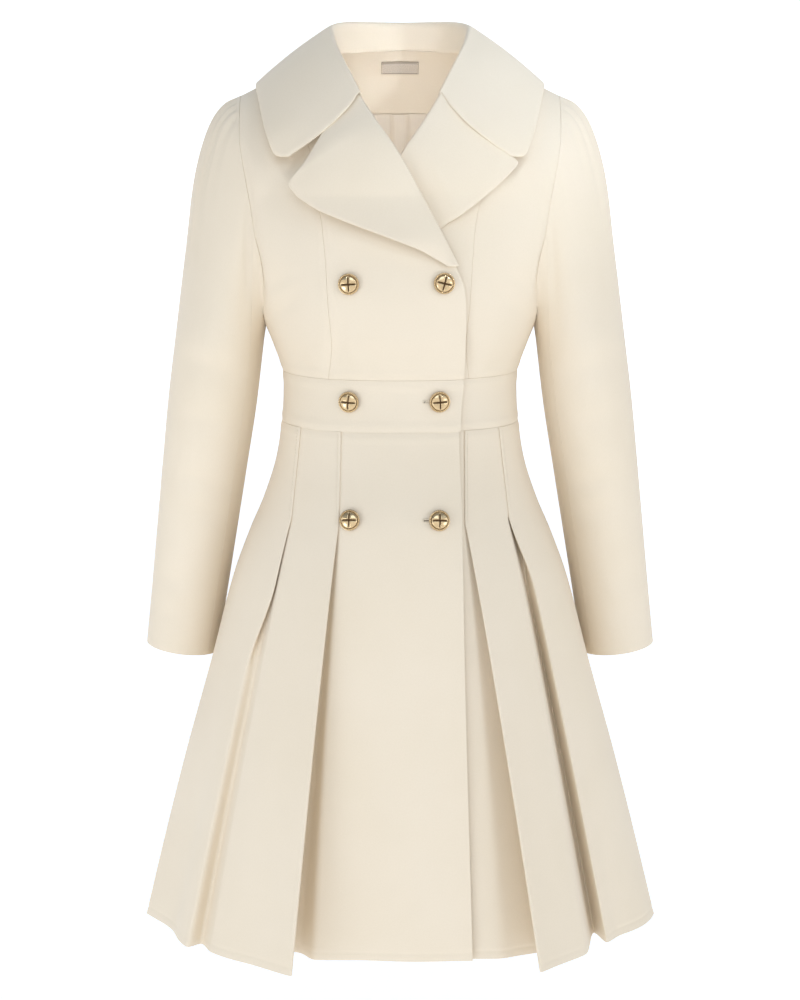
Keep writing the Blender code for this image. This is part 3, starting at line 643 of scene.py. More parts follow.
def half_section(face, side, height, start):
    """Half of the skirt's section as (across, out) pairs, from an inner edge to the side seam."""
    down = max(down_skirt(height), 0.0)
    from_across, from_out = start, -CENTRE_FLATNESS * down
    runs = []
    turn = np.linspace(0.0, math.pi, TURN_STEPS + 1)[1:]
    straight, strip = even_steps(REACH_STEPS), even_steps(STRIP_STEPS)
    pleats = [pleat for pleat in PLEATS if pleat.face == face and pleat.side == side]
    for number, pleat in enumerate(pleats):
        fold, proud, depth, reach, gap = pleat_at(pleat, height)
        turn_in = blend(TURN_IN_TOP, pleat.turn_in, down)
        edge = pleat.edge * down
        share = np.linspace(0.0, 1.0, CENTRE_STEPS if number == 0 else BETWEEN_STEPS)
        across = blend(from_across, fold - turn_in, share)
        bow = CENTRE_BOW * down * np.maximum(1 - (across / CENTRE_BOW_HALF) ** 2, 0.0) * (number == 0)
        runs.append((across, blend(from_out, edge, share) - bow))
        wide = OPEN_FOLDS[face, side]
        opened = float(between(down, wide.start, wide.done)) * (number == 1)
        bend = blend(ease(strip / STRIP_FLOOR), ease(strip), opened)
        runs.append((fold - turn_in * (1 - strip), edge - (depth + edge) * bend))
        under = np.concatenate([fold + reach * straight, fold + reach + gap / 2 * np.sin(turn),
                                fold + reach * (1 - straight), fold - gap / 2 * np.sin(turn)])
        out = np.concatenate([np.full(REACH_STEPS, -depth), -depth + gap / 2 * (1 - np.cos(turn)),
                              gap - depth + (proud - 2 * gap + depth) * straight,
                              proud - gap + gap / 2 * (1 - np.cos(turn))])
        valley = even_steps(len(under))
        far = wide.far * blend(FAR_AT_TOP, 1, down)
        runs.append((blend(under, fold + far * valley, opened),
                     blend(out, (proud + depth) * ease(valley) - depth, opened)))
        from_across, from_out = fold + far * opened, proud
    half_width = float(half_width_at(height))
    share = np.sin(math.pi / 2 * even_steps(SIDE_STEPS))
    across = blend(from_across, half_width, share)
    round_side = -body(np.append(from_across, across), height)[:, 1]
    bulge = round_side[1:] - round_side[0] * (half_width - across) / (half_width - from_across)
    flatter = SIDE_FLATNESS[face, side] * ease(down) * bulge
    runs.append((across, from_out * np.cos(math.pi / 2 * share) - flatter))
    return np.concatenate([run[0] for run in runs]), np.concatenate([run[1] for run in runs])


def wave_depth(face, side, across, height):
    total = np.zeros(len(across))
    for wave in WAVES:
        if wave.face == face and wave.side == side and height < wave.top:
            down = (wave.top - height) / (wave.top - HEM)
            place = blend(wave.at_top, wave.at_hem, down)
            width = wave.width * (WAVE_WIDTH_AT_TOP + down)
            total += wave.depth * ease(down) * bell(across - place, width)
    return total


def level_outwards(x, height, back):
    """The level directions in which the skirt's cloth stands off: straight ahead, and out at the sides."""
    half_width, depth, power = section_at(height, back)
    side = np.clip(x / half_width, -1.0, 1.0)
    turn = (1 - np.abs(side) ** power) ** (1 / power)
    away = turn ** (power - 1) / depth
    sideways = np.sign(side) * np.abs(side) ** (power - 1) / half_width
    sideways *= ease((np.abs(side) - SIDE_TURN_FROM) / SIDE_TURN_OVER)
    return unit(np.stack([sideways, away if back else -away, np.zeros(len(x))], -1))


def skirt_line(face, side, height, start):
    """One level line of the skirt, in the middle of the cloth."""
    back = face == "back"
    across, out = half_section(face, side, height, start)
    raised = out - SKIRT_CLOTH / 2 - wave_depth(face, side, across, height)
    raised -= HEM_LINE_DEPTH * bell(height - HEM - HEM_LINE, HEM_LINE_WIDTH)
    raised -= seam_dip(height - BAND_BOTTOM)
    if not back:
        raised = raised + lap_lift(side, across, height)
    x = side * across
    line = body(x, height, 0.0, back) + raised[:, None] * level_outwards(x, height, back)
    line[-1, 1] = SEAM_ROOM if back else -SEAM_ROOM
    return soften(line, FOLD_SOFTENING, 0)


def skirt_heights():
    top = BAND_BOTTOM - SEAM_ROOM
    seam = np.linspace(top, top - SEAM_REACH, SEAM_STEPS)
    hem = np.linspace(HEM + HEM_REACH, HEM + SKIRT_CLOTH / 2, HEM_STEPS)
    return np.concatenate([seam[:-1], np.linspace(seam[-1], hem[0], SKIRT_STEPS), hem[1:]])


def skirt_start(side, height):
    """The front edge of the upper front; the one under it ends short of the upper one's pleat."""
    return float(smooth(FRONT_EDGE, "across", height)) if side == RIGHT else UNDERLAP


def make_skirt(cloth):
    heights = skirt_heights()
    grids = {}
    for word, side in SIDES.items():
        lines = [skirt_line("front", side, height, skirt_start(side, height)) for height in heights]
        grids[f"skirt_{word}"] = np.array(lines)
    right, left = (np.array([skirt_line("back", side, height, 0.0) for height in heights])
                   for side in SIDES.values())
    back = np.concatenate([right[:, ::-1], left[:, 1:]], axis=1)
    grids["skirt_back"] = soften(back, CENTRE_BACK_SOFTENING, 1)
    return {node: cloth_wall(f"{node}_cloth", grid, cloth, thickness=SKIRT_CLOTH, outside=IN_THE_MIDDLE)
            for node, grid in grids.items()}


# The sleeves: gathers at the head, and soft creases by the angle round the arm and the height
SLEEVE_FINENESS = 4
HEAD_ROWS = 34
ARM_ROWS = 62
SLEEVE_SOFTENING = 2
# A gather reaches its depth this share of the way down the head, and is this much wider at the biceps
GATHER_START = 0.012
GATHER_WIDENS = 1.6
Gather = namedtuple("Gather", "angle width depth reach")
GATHERS = [
    Gather(-0.98, 0.085, 1.8, 0.40), Gather(-0.74, 0.075, 2.8, 0.62), Gather(-0.50, 0.080, 2.4, 0.48),
    Gather(-0.29, 0.070, 3.2, 0.72), Gather(-0.06, 0.075, 2.6, 0.52), Gather(0.17, 0.070, 3.4, 0.80),
    Gather(0.41, 0.080, 2.8, 0.60), Gather(0.63, 0.075, 3.4, 0.86), Gather(0.90, 0.090, 2.2, 0.50),
]
SLEEVE_CREASES = [
    Crease(2.3, -300, 0.6, -268, 12, 2.4),
    Crease(2.0, -352, 0.9, -334, 10, 1.8),
    Crease(1.0, -402, 2.5, -424, 11, 2.6),
    Crease(-2.0, -396, -0.9, -428, 12, 2.8),
    Crease(2.4, -452, 1.2, -440, 10, 2.0),
    Crease(-1.2, -446, -2.5, -462, 10, 2.2),
    Crease(0.6, -520, 1.6, -538, 12, 1.6),
    Crease(-0.7, -508, -1.9, -530, 12, 1.8),
    Crease(1.8, -575, 0.7, -563, 10, 1.4),
]
# The arm's radius, by which a crease's angle becomes a distance
CREASE_ARM = 46.0


def half_armhole(step):
    """Rows of one half of the armhole, from the underarm to the shoulder seam."""
    heights = np.interp(step, range(len(ARMHOLE_ROWS)), ARMHOLE_ROWS)
    top = len(ARMHOLE_ROWS) - 1
    return np.where(step <= top, heights, np.sin(math.pi / 2 * np.clip((step - top) / HEAD_STEPS, 0, 1)))


def armhole_loop(side):
    """The armhole from the underarm up the front, over the shoulder and down the back."""
    last = len(ARMHOLE_ROWS) - 1 + HEAD_STEPS
    rows = half_armhole(np.linspace(0, last, last * SLEEVE_FINENESS + 1))
    across = edge_on_rows(side_edge, rows)
    height = row_height(rows, across)
    front = body(side * across, height, -crease_depth(across, height, FRONT_CREASES))
    back = body(side * across, height, 0.0, back=True)
    loop = np.concatenate([front, back[::-1][1:-1]])
    loop[:, 0] += side * ARMHOLE_GAP
    return loop


def sleeve_ring(side, height, angles):
    """A sleeve ring: angle 0 is the outer edge, 90 degrees the front."""
    inner, outer = smooth(SLEEVE, "inner", height), smooth(SLEEVE, "outer", height)
    reach = (outer - inner) / 2 * np.cos(angles)
    y = smooth(SLEEVE, "middle", height) - smooth(SLEEVE, "half_depth", height) * np.sin(angles)
    x = side * ((inner + outer) / 2 + reach)
    return np.stack([x, y, height + reach * smooth(SLEEVE, "lean", height)], -1)


def sleeve_grid(side):
    """The whole sleeve from armhole to cuff, and the point in the middle of each of its rows."""
    loop = armhole_loop(side)
    angles = math.pi - 2 * math.pi * np.arange(len(loop)) / len(loop)
    biceps = sleeve_ring(side, SLEEVE[-1].height, angles)
    top = np.maximum(np.cos(angles), 0.0)
    head = np.linspace(0.0, 1.0, HEAD_ROWS)[:-1] ** 2
    rows = []
    for share in head:
        puff = smooth(SLEEVE_HEAD, "puff", share, key="share") * top ** PUFF_ROUNDNESS
        line = blend(loop, biceps, share)
        line[:, 0] += side * puff
        line[:, 2] += PUFF_RISE * puff
        rows.append(line)
    for height in np.linspace(SLEEVE[-1].height, SLEEVE[0].height + CLOTH / 2, ARM_ROWS):
        rows.append(sleeve_ring(side, height, angles))
    grid = soften(np.array(rows), SLEEVE_SOFTENING, 0)
    middle = np.repeat(grid.mean(axis=1, keepdims=True), grid.shape[1], axis=1)
    normals = unit(np.cross(np.gradient(grid, axis=0), np.roll(grid, -1, 1) - np.roll(grid, 1, 1)))
    normals *= np.sign(np.sum(normals * (grid - middle), axis=(0, 1, 2), keepdims=True))
    depth = np.zeros(grid.shape[:2])
    shares = np.concatenate([head, np.ones(ARM_ROWS)])
    for gather in GATHERS:
        fade = ease(1 - shares / gather.reach) * ease(shares / GATHER_START)
        spread = gather.width * (1 + GATHER_WIDENS * shares)
        depth += gather.depth * fade[:, None] * bell(angles - gather.angle, spread[:, None])
    bends = [crease._replace(across=crease.across * CREASE_ARM, to_across=crease.to_across * CREASE_ARM)
             for crease in SLEEVE_CREASES]
    depth += crease_depth(angles * CREASE_ARM, grid[..., 2], bends)
    return grid - normals * depth[..., None], middle


def make_sleeves(cloth):
    pieces = {}
    seam_front = UNDER_SLEEVE_STEPS * SLEEVE_FINENESS
    for word, side in SIDES.items():
        grid, middle = sleeve_grid(side)
        count = grid.shape[1]
        seam_back = count - seam_front
        strips = {"outer": (seam_front, seam_back), "under": (seam_back, count + seam_front)}
        for part, (first, last) in strips.items():
            columns = np.arange(first, last + 1) % count
            strip = grid[:, columns].copy()
            strip[:, 0] += unit(strip[:, 1] - strip[:, 0]) * SEAM_ROOM
            strip[:, -1] += unit(strip[:, -2] - strip[:, -1]) * SEAM_ROOM
            node = f"sleeve_{word}_{part}"
            pieces[node] = cloth_wall(f"{node}_cloth", strip, cloth, middle[:, columns])
    return pieces


def through(points, steps):
    """A smooth curve through rows of points, with so many steps between each two."""
    points = np.asarray(points, float)
    padded = np.concatenate([2 * points[:1] - points[1:2], points, 2 * points[-1:] - points[-2:-1]])
    place = np.linspace(0, len(points) - 1, (len(points) - 1) * steps + 1)
    i = np.minimum(place.astype(int), len(points) - 2)
    s = (place - i).reshape((-1,) + (1,) * (points.ndim - 1))
    a, b, c, d = padded[i], padded[i + 1], padded[i + 2], padded[i + 3]
    return b + 0.5 * s * (c - a + s * (2 * a - 5 * b + 4 * c - d + s * (3 * (b - c) + d - a)))


# The lapels: near the gorge seam and near the break they lie closer to the front, by a share that
# grows over a reach, and the left one stands up at the gorge to meet the collar
LAPEL_THICKNESS = 2.4
LAPEL_ROW_STEPS = 10
LAPEL_COLUMN_STEPS = 6
POINT_SOFTENING = 5
EDGE_SWELL = 4.0
GORGE_SHARE = 0.55
GORGE_REACH = 34.0
LEFT_GORGE_LIFT = 4.2
BREAK_SHARE = 0.35
BREAK_REACH = 44.0


def lapel_grid(side):
    """The visible face of a lapel, rolled out over its front from the roll line."""
    table = np.array(RIGHT_LAPEL if side == RIGHT else LEFT_LAPEL, float)
    place = np.linspace(0, len(table) - 1, (len(table) - 1) * LAPEL_ROW_STEPS + 1)
    rows = np.stack([np.interp(place, range(len(table)), table[:, k]) for k in range(3)], -1)
    rows[:, 1:] = soften(rows[:, 1:], POINT_SOFTENING, 0)
    columns = through(np.array(LAPEL_COLUMNS), LAPEL_COLUMN_STEPS)
    share, beyond, lift = columns.T
    roll_height, edge_across, edge_height = rows.T[:, :, None]
    roll = roll_line(roll_height)
    across = blend(roll, edge_across, share) + beyond
    height = blend(roll_height, edge_height, share)
    from_gorge = ease((rows[-1, 0] - roll_height) / GORGE_REACH)
    from_break = ease((roll_height - BREAK_HEIGHT) / BREAK_REACH)
    lift = np.broadcast_to(lift, across.shape) * (blend(GORGE_SHARE, 1, from_gorge)
                                                  * blend(BREAK_SHARE, 1, from_break))
    if side == LEFT:
        lift = lift + LEFT_GORGE_LIFT * (1 - from_gorge)
        shown = between(across + roll_line(height), COVERED_UNTIL, UNCOVERED_FROM)
        lift = np.minimum(lift, COVERED_LIFT) + np.maximum(lift - COVERED_LIFT, 0.0) * shown
    else:
        middle = np.sin(math.pi * np.linspace(0.0, 1.0, len(rows)))[:, None]
        lift = lift + EDGE_SWELL * middle * np.maximum(share, 0.0) ** 2
    return body(side * across, height, lap_lift(side, across, height) + lift)


def make_lapels(cloth):
    return {f"lapel_{word}": cloth_wall(f"lapel_{word}_cloth", lapel_grid(side), cloth,
                                        thickness=LAPEL_THICKNESS, rim=FREE_RIM)
            for word, side in SIDES.items()}


# The collar: steps along it and down its profile, the rounding of its points, and its fold's form as
# shares of the fold's radius
COLLAR_THICKNESS = 2.6
STATION_STEPS = 9
PROFILE_STEPS = 4
FALL_STEPS = 6
STAND_POINTS = 5
PROFILE_SOFTENING = 1
STATION_SOFTENING = 2
JUST_BELOW = 0.01
CORNER_RADIUS = 11.0
FOLD_TOP = 0.6
FOLD_OUT = 1.9
FOLD_DROP = 0.5


def clear_of_body(points):
    """Moves points of the collar's fall out until they stand clear of the bodice."""
    x, y, z = points.T
    shoulder = shoulder_height(x)
    stretch = 1 + COLLAR_CLEAR / (shoulder - SHOULDER_START)
    height = np.where(z > SHOULDER_START, SHOULDER_START + (z - SHOULDER_START) / stretch, z)
    below = height < shoulder
    level = np.minimum(height, shoulder - JUST_BELOW)
    lift = np.where(x < 0, lap_lift(RIGHT, -x, level), 0.0)
    front = body(x, level, COLLAR_CLEAR + lift)[:, 1]
    back = body(x, level, COLLAR_CLEAR, back=True)[:, 1]
    moved = np.where(y < SHOULDER_SEAM_Y, np.minimum(y, front), np.maximum(y, back))
    return np.stack([x, np.where(below, moved, y), z], -1)


def collar_profile(station, cut):
    """One station of the collar: up the stand, over the fold and down the fall to its edge."""
    seam, roll, middle, edge = station
    away = unit((middle - roll) * (1, 1, 0))
    up = unit(roll - seam)
    fold = min(FOLD_RADIUS, np.linalg.norm(roll - seam) / 3)
    start = roll + (away * FOLD_OUT - up * FOLD_DROP) * fold
    control = middle * 2 - (start + edge) / 2
    length = np.linalg.norm(middle - start) + np.linalg.norm(edge - middle)
    share = np.linspace(0.0, 1.0 - cut / length, FALL_STEPS + 1)[1:, None]
    fall = start * (1 - share) ** 2 + control * 2 * share * (1 - share) + edge * share ** 2
    line = [seam, (seam + roll) / 2, roll - up * fold, roll + away * FOLD_TOP * fold, start]
    return through(np.concatenate([line, fall]), PROFILE_STEPS)


def make_collar(cloth):
    right = np.array(COLLAR, float)
    left = right[-2::-1].copy()
    right[..., 0] *= RIGHT
    stations = through(np.concatenate([right, left]), STATION_STEPS)
    edge = stations[:, 3]
    run = np.concatenate([[0.0], np.cumsum(np.linalg.norm(np.diff(edge, axis=0), axis=1))])
    from_corner = np.minimum(run, run[-1] - run)
    inside = np.clip(CORNER_RADIUS - from_corner, 0.0, CORNER_RADIUS)
    cuts = CORNER_RADIUS - np.sqrt(CORNER_RADIUS ** 2 - inside ** 2)
    grid = np.array([collar_profile(station, cut) for station, cut in zip(stations, cuts)])
    fall_from = STAND_POINTS * PROFILE_STEPS
    for line in grid:
        line[fall_from:] = clear_of_body(line[fall_from:])
    grid = soften(soften(grid, PROFILE_SOFTENING, 1), STATION_SOFTENING, 0)
    return {"collar": cloth_wall("collar_cloth", grid, cloth, thickness=COLLAR_THICKNESS, rim=FREE_RIM)}


# The inside of the back neck: each piece's extent, how deep it lies under the back's outer face, and
# how the facing's top comes forward and up over the collar stand's seam
FACING_HALF = 66.0
FACING_BOTTOM = -20.0
FACING_TOP_ROOM = 1.0
FACING_DEPTH = 4.0
FACING_LIFT = 2.9
FACING_RISE = 3.6
FACING_LIFT_REACH = 10.0
LINING_HALF = 84.0
LINING_BOTTOM = -150.0
LINING_TOP_ROOM = 0.6
EASE_PLEAT_HALF = 6.0
EASE_PLEAT_DEPTH = 1.8
THIN_CLOTH = 1.0
LABEL_HALF = 21.0
LABEL_BOTTOM = 26.0
LABEL_TOP = 39.5
LABEL_DEPTH = 6.2
LABEL_THICKNESS = 0.6
FACING_ROWS = 18
FACING_COLUMNS = 60
LINING_ROWS = 34
LINING_COLUMNS = 80
LABEL_ROWS = 8
LABEL_COLUMNS = 20
LINING_CREASES = [
    Crease(-40, -150, -30, -30, 9, 1.2),
    Crease(34, -150, 26, -40, 8, -1.0),
    Crease(58, -140, 50, -30, 10, 1.2),
]


def facing_grid():
    """The back neck facing, up to the neckline."""
    x = np.linspace(-FACING_HALF, FACING_HALF, FACING_COLUMNS)
    edge = row_height(neck_share(x), x) - FACING_TOP_ROOM
    height = blend(FACING_BOTTOM, edge, np.linspace(0.0, 1.0, FACING_ROWS)[:, None])
    upper = ease(1 - (edge - height) / FACING_LIFT_REACH)
    grid = body(x, height, -FACING_DEPTH - FACING_LIFT * upper, back=True)
    grid[..., 2] += FACING_RISE * upper
    return grid


def lining_grid():
    """The back lining under the facing, with the ease pleat down its centre."""
    x, height = np.meshgrid(np.linspace(-LINING_HALF, LINING_HALF, LINING_COLUMNS),
                            np.linspace(LINING_BOTTOM, FACING_BOTTOM - LINING_TOP_ROOM, LINING_ROWS))
    pleat = EASE_PLEAT_DEPTH * ease(2 - np.abs(x) / EASE_PLEAT_HALF)
    return body(x, height, -FACING_DEPTH - pleat - crease_depth(x, height, LINING_CREASES), back=True)


def label_grid():
    x, height = np.meshgrid(np.linspace(-LABEL_HALF, LABEL_HALF, LABEL_COLUMNS),
                            np.linspace(LABEL_BOTTOM, LABEL_TOP, LABEL_ROWS))
    return body(x, height, -LABEL_DEPTH, back=True)


def make_neck_inside(cloth, lining, tape):
    return {
        "neck_facing": cloth_wall("neck_facing_cloth", facing_grid(), cloth, thickness=THIN_CLOTH),
        "back_lining": cloth_wall("back_lining_cloth", lining_grid(), lining, thickness=THIN_CLOTH),
        "label": cloth_wall("label_cloth", label_grid(), tape, thickness=LABEL_THICKNESS),
    }


# Node trees
class Value:
    """A shader socket that takes part in Python expressions."""

    def __init__(self, tree, socket):
        self.tree = tree
        self.socket = socket

    def sum(self, operation, *others, first=None):
        node = self.tree.nodes.new("ShaderNodeMath")
        node.operation = operation
        terms = ([self] if first is None else [first, self]) + list(others)
        for place, term in enumerate(terms):
            if isinstance(term, Value):
                self.tree.links.new(term.socket, node.inputs[place])
            else:
                node.inputs[place].default_value = term
        return Value(self.tree, node.outputs[0])

    def __add__(self, other):
        return self.sum("ADD", other)

    def __sub__(self, other):
        return self.sum("SUBTRACT", other)

    def __rsub__(self, other):
        return self.sum("SUBTRACT", first=other)

    def __mul__(self, other):
        return self.sum("MULTIPLY", other)

    __radd__ = __add__
    __rmul__ = __mul__

    def sine(self):
        return self.sum("SINE")

    def clamped(self):
        return self.sum("MINIMUM", 1.0).sum("MAXIMUM", 0.0)


class Tree:
    """A node tree that is built one node at a time."""

    def __init__(self, tree):
        self.tree = tree

    def add(self, kind, settings=None, inputs=None):
        """Adds a node: its settings first, then the values or links of its sockets."""
        node = self.tree.nodes.new(kind)
        for name, value in (settings or {}).items():
            setattr(node, name, value)
        for name, value in (inputs or {}).items():
            self.feed(node.inputs[name], value)
        return node

    def feed(self, socket, value):
        """Links a socket to a value or another socket, or sets it."""
        source = value.socket if isinstance(value, Value) else value
        if isinstance(source, bpy.types.NodeSocket):
            self.tree.links.new(source, socket)
        else:
            socket.default_value = source

    def value(self, kind, settings=None, inputs=None, output=0):
        return Value(self.tree, self.add(kind, settings, inputs).outputs[output])


class Finish(Tree):
    """A procedural material with one Principled shader."""

    def __init__(self, name):
        self.material = bpy.data.materials.new(name)
        self.material.use_nodes = True
        super().__init__(self.material.node_tree)
        self.shader = self.tree.nodes["Principled BSDF"]

    def noise(self, vector, scale, detail=2.0, roughness=0.5):
        inputs = {"Vector": vector, "Scale": scale, "Detail": detail, "Roughness": roughness}
        return self.value("ShaderNodeTexNoise", None, inputs)

    def mix(self, factor, low, high):
        inputs = {0: factor, 6: low, 7: high}
        return self.value("ShaderNodeMix", {"data_type": "RGBA"}, inputs, output=2)

    def stretched(self, vector, scale):
        inputs = {0: vector, 1: scale}
        return self.value("ShaderNodeVectorMath", {"operation": "MULTIPLY"}, inputs)

    def cloth_uv(self):
        """The place on the flat cloth, and its two directions on their own."""
        uv = self.value("ShaderNodeUVMap", {"uv_map": "cloth"})
        axes = self.add("ShaderNodeSeparateXYZ", None, {"Vector": uv})
        return uv, Value(self.tree, axes.outputs[0]), Value(self.tree, axes.outputs[1])

    def place(self):
        return self.value("ShaderNodeTexCoord", None, None, output=3)

    def set(self, **sockets):
        for name, value in sockets.items():
            self.feed(self.shader.inputs[name.replace("_", " ")], value)

    def bump(self, height, distance, strength):
        inputs = {"Height": height, "Distance": distance, "Strength": strength}
        self.set(Normal=self.value("ShaderNodeBump", None, inputs))


# Finishes: their two tones, grains to a metre, threads as radians of a wave to a metre, and the depth of
# their relief in metres
IVORY_LIGHT = (0.818, 0.704, 0.546, 1.0)
IVORY_DEEP = (0.760, 0.644, 0.472, 1.0)
IVORY_SHEEN = (1.0, 0.95, 0.86, 1.0)
TWILL_THREADS = 6400.0
TWILL_SLOPE = 0.7
NAP_GRAIN = 520.0
FIBRE_GRAIN = (2600.0, 620.0, 1.0)
COATING_CLOUD = 7.0
COATING_RELIEF = 0.0004
LINING_LIGHT = (0.80, 0.69, 0.53, 1.0)
LINING_DEEP = (0.66, 0.55, 0.41, 1.0)
SATIN_FLOATS = 9000.0
SATIN_STREAKS = (1400.0, 60.0, 1.0)
LINING_CLOUD = 18.0
LINING_RELIEF = 0.0002
TAPE_LIGHT = (0.78, 0.67, 0.53, 1.0)
TAPE_DEEP = (0.40, 0.33, 0.25, 1.0)
TAPE_RIBS = 7800.0
TAPE_GRAIN = 900.0
TAPE_RELIEF = 0.0003
TAPE_BORDER = 0.0013
GILT = (0.73, 0.54, 0.30, 1.0)
PATINA = (0.085, 0.038, 0.010, 1.0)
GILT_WEAR = 900.0
GILT_GRAIN = 4200.0
GILT_RELIEF = 0.0001
THREAD_LIGHT = (0.84, 0.75, 0.59, 1.0)
THREAD_DEEP = (0.70, 0.59, 0.42, 1.0)
THREAD_TWIST = (3800.0, 3800.0, 1600.0)
THREAD_RELIEF = 0.0002
# The buttonhole slit's two tones are painted shade: dark brown for the shadow inside the cut
SLIT_SHADE_LIGHT = (0.21, 0.15, 0.09, 1.0)
SLIT_SHADE_DEEP = (0.10, 0.065, 0.035, 1.0)
SLIT_GRAIN = 2600.0
SLIT_RELIEF = 0.0003
MIDDLE_TONE = 0.5
NOISE_MIDDLE = 0.5

# How far each pattern moves its finish's tone, roughness and relief
Pattern = namedtuple("Pattern", "tone rough relief", defaults=(0.0, 0.0, 0.0))
NAP = Pattern(tone=0.8, rough=0.2, relief=0.55)
FIBRE = Pattern(tone=0.5, relief=0.35)
CLOUD = Pattern(tone=0.9)
TWILL = Pattern(relief=0.06)
STREAKS = Pattern(tone=0.8, rough=0.2, relief=0.6)
SATIN_CLOUD = Pattern(tone=0.7)
FLOATS = Pattern(relief=0.2)
RIBS = Pattern(tone=0.15, relief=0.5)
GRAIN = Pattern(tone=0.8, rough=0.2, relief=0.3)
BORDER = Pattern(tone=0.55)
WEAR = Pattern(rough=0.16)
TWIST = Pattern(rough=0.2)
# Patina: its least strength in a hollow, what wear adds, and how far it dulls and roughens the metal
PATINA_LEAST = 0.8
PATINA_WEAR = 0.5
PATINA_DULLS = 0.35
PATINA_ROUGHENS = 0.3


def varied(middle, *parts):
    """A value that each noise moves off its middle by a share."""
    for noise, share in parts:
        middle = middle + (noise - NOISE_MIDDLE) * share
    return middle


def ivory_coating():
    """Smooth napped coating: a short lying fibre over a fine twill, with a faint cloudiness."""
    finish = Finish("ivory_wool_coating")
    uv, u, v = finish.cloth_uv()
    twill = ((u + v * TWILL_SLOPE) * TWILL_THREADS).sine()
    nap = finish.noise(uv, NAP_GRAIN, detail=4.0, roughness=0.62)
    fibre = finish.noise(finish.stretched(uv, FIBRE_GRAIN), 1.0, detail=3.0, roughness=0.6)
    cloud = finish.noise(finish.place(), COATING_CLOUD, detail=3.0, roughness=0.55)
    tone = varied(MIDDLE_TONE, (cloud, CLOUD.tone), (nap, NAP.tone), (fibre, FIBRE.tone)).clamped()
    finish.set(Base_Color=finish.mix(tone, IVORY_DEEP, IVORY_LIGHT))
    finish.set(Roughness=varied(0.80, (nap, NAP.rough)), Specular_IOR_Level=0.25)
    finish.set(Sheen_Weight=0.22, Sheen_Roughness=0.45, Sheen_Tint=IVORY_SHEEN)
    relief = nap * NAP.relief + fibre * FIBRE.relief + twill * TWILL.relief
    finish.bump(relief, COATING_RELIEF, strength=0.22)
    return finish.material


def cream_lining():
    """A satin lining: fine lengthwise floats with a soft gloss."""
    finish = Finish("cream_satin_lining")
    uv, u, _ = finish.cloth_uv()
    floats = (u * SATIN_FLOATS).sine()
    streaks = finish.noise(finish.stretched(uv, SATIN_STREAKS), 1.0, detail=3.0, roughness=0.6)
    cloud = finish.noise(finish.place(), LINING_CLOUD)
    tone = varied(MIDDLE_TONE, (streaks, STREAKS.tone), (cloud, SATIN_CLOUD.tone)).clamped()
    finish.set(Base_Color=finish.mix(tone, LINING_DEEP, LINING_LIGHT))
    finish.set(Roughness=varied(0.42, (streaks, STREAKS.rough)), Specular_IOR_Level=0.5)
    finish.bump(streaks * STREAKS.relief + floats * FLOATS.relief, LINING_RELIEF, strength=0.2)
    return finish.material


def woven_label():
    """A plain ribbed tape with a darker woven border along its long edges."""
    finish = Finish("woven_label_tape")
    uv, u, v = finish.cloth_uv()
    ribs = (u * TAPE_RIBS).sine() * (v * TAPE_RIBS).sine()
    grain = finish.noise(uv, TAPE_GRAIN, detail=3.0)
    edge = v.sum("MINIMUM", (LABEL_TOP - LABEL_BOTTOM) * MM - v)
    border = edge.sum("LESS_THAN", TAPE_BORDER)
    tone = (varied(MIDDLE_TONE + ribs * RIBS.tone, (grain, GRAIN.tone)) - border * BORDER.tone).clamped()
    finish.set(Base_Color=finish.mix(tone, TAPE_DEEP, TAPE_LIGHT))
    finish.set(Roughness=varied(0.7, (grain, GRAIN.rough)), Specular_IOR_Level=0.3)
    finish.bump(ribs * RIBS.relief + grain * GRAIN.relief, TAPE_RELIEF, strength=0.4)
    return finish.material


def gold_metal():
    """Polished gilt with a brown patina left in the hollows."""
    finish = Finish("gilt_button_metal")
    hollow = finish.value("ShaderNodeAttribute", {"attribute_name": "hollow"}, None, output=2)
    wear = finish.noise(finish.place(), GILT_WEAR, detail=3.0)
    fine = finish.noise(finish.place(), GILT_GRAIN)
    patina = (hollow * (PATINA_LEAST + wear * PATINA_WEAR)).clamped()
    finish.set(Base_Color=finish.mix(patina, GILT, PATINA))
    finish.set(Metallic=1.0 - patina * PATINA_DULLS,
               Roughness=varied(0.17, (wear, WEAR.rough)) + patina * PATINA_ROUGHENS)
    finish.bump(fine, GILT_RELIEF, strength=0.08)
    return finish.material


def sewing_thread():
    """A twisted thread in the cloth's own colour."""
    finish = Finish("ivory_sewing_thread")
    twist = finish.noise(finish.stretched(finish.place(), THREAD_TWIST), 1.0)
    finish.set(Base_Color=finish.mix(twist, THREAD_DEEP, THREAD_LIGHT))
    finish.set(Roughness=varied(0.55, (twist, TWIST.rough)), Sheen_Weight=0.2)
    finish.bump(twist, THREAD_RELIEF, strength=0.3)
    return finish.material


def painted_slit_shade():
    """Painted shade for a buttonhole's slit: a dark brown finish that stands for the shadow inside the cut.
    """
    finish = Finish("buttonhole_slit")
    grain = finish.noise(finish.place(), SLIT_GRAIN, detail=3.0)
    finish.set(Base_Color=finish.mix(grain, SLIT_SHADE_DEEP, SLIT_SHADE_LIGHT), Roughness=0.9)
    finish.bump(grain, SLIT_RELIEF, strength=0.3)
    return finish.material


BEAD_RINGS = 5
RIM_BEAD_SIDES = 8
STITCH_SIDES = 6
RIM_CIRCLE_STEPS = 96


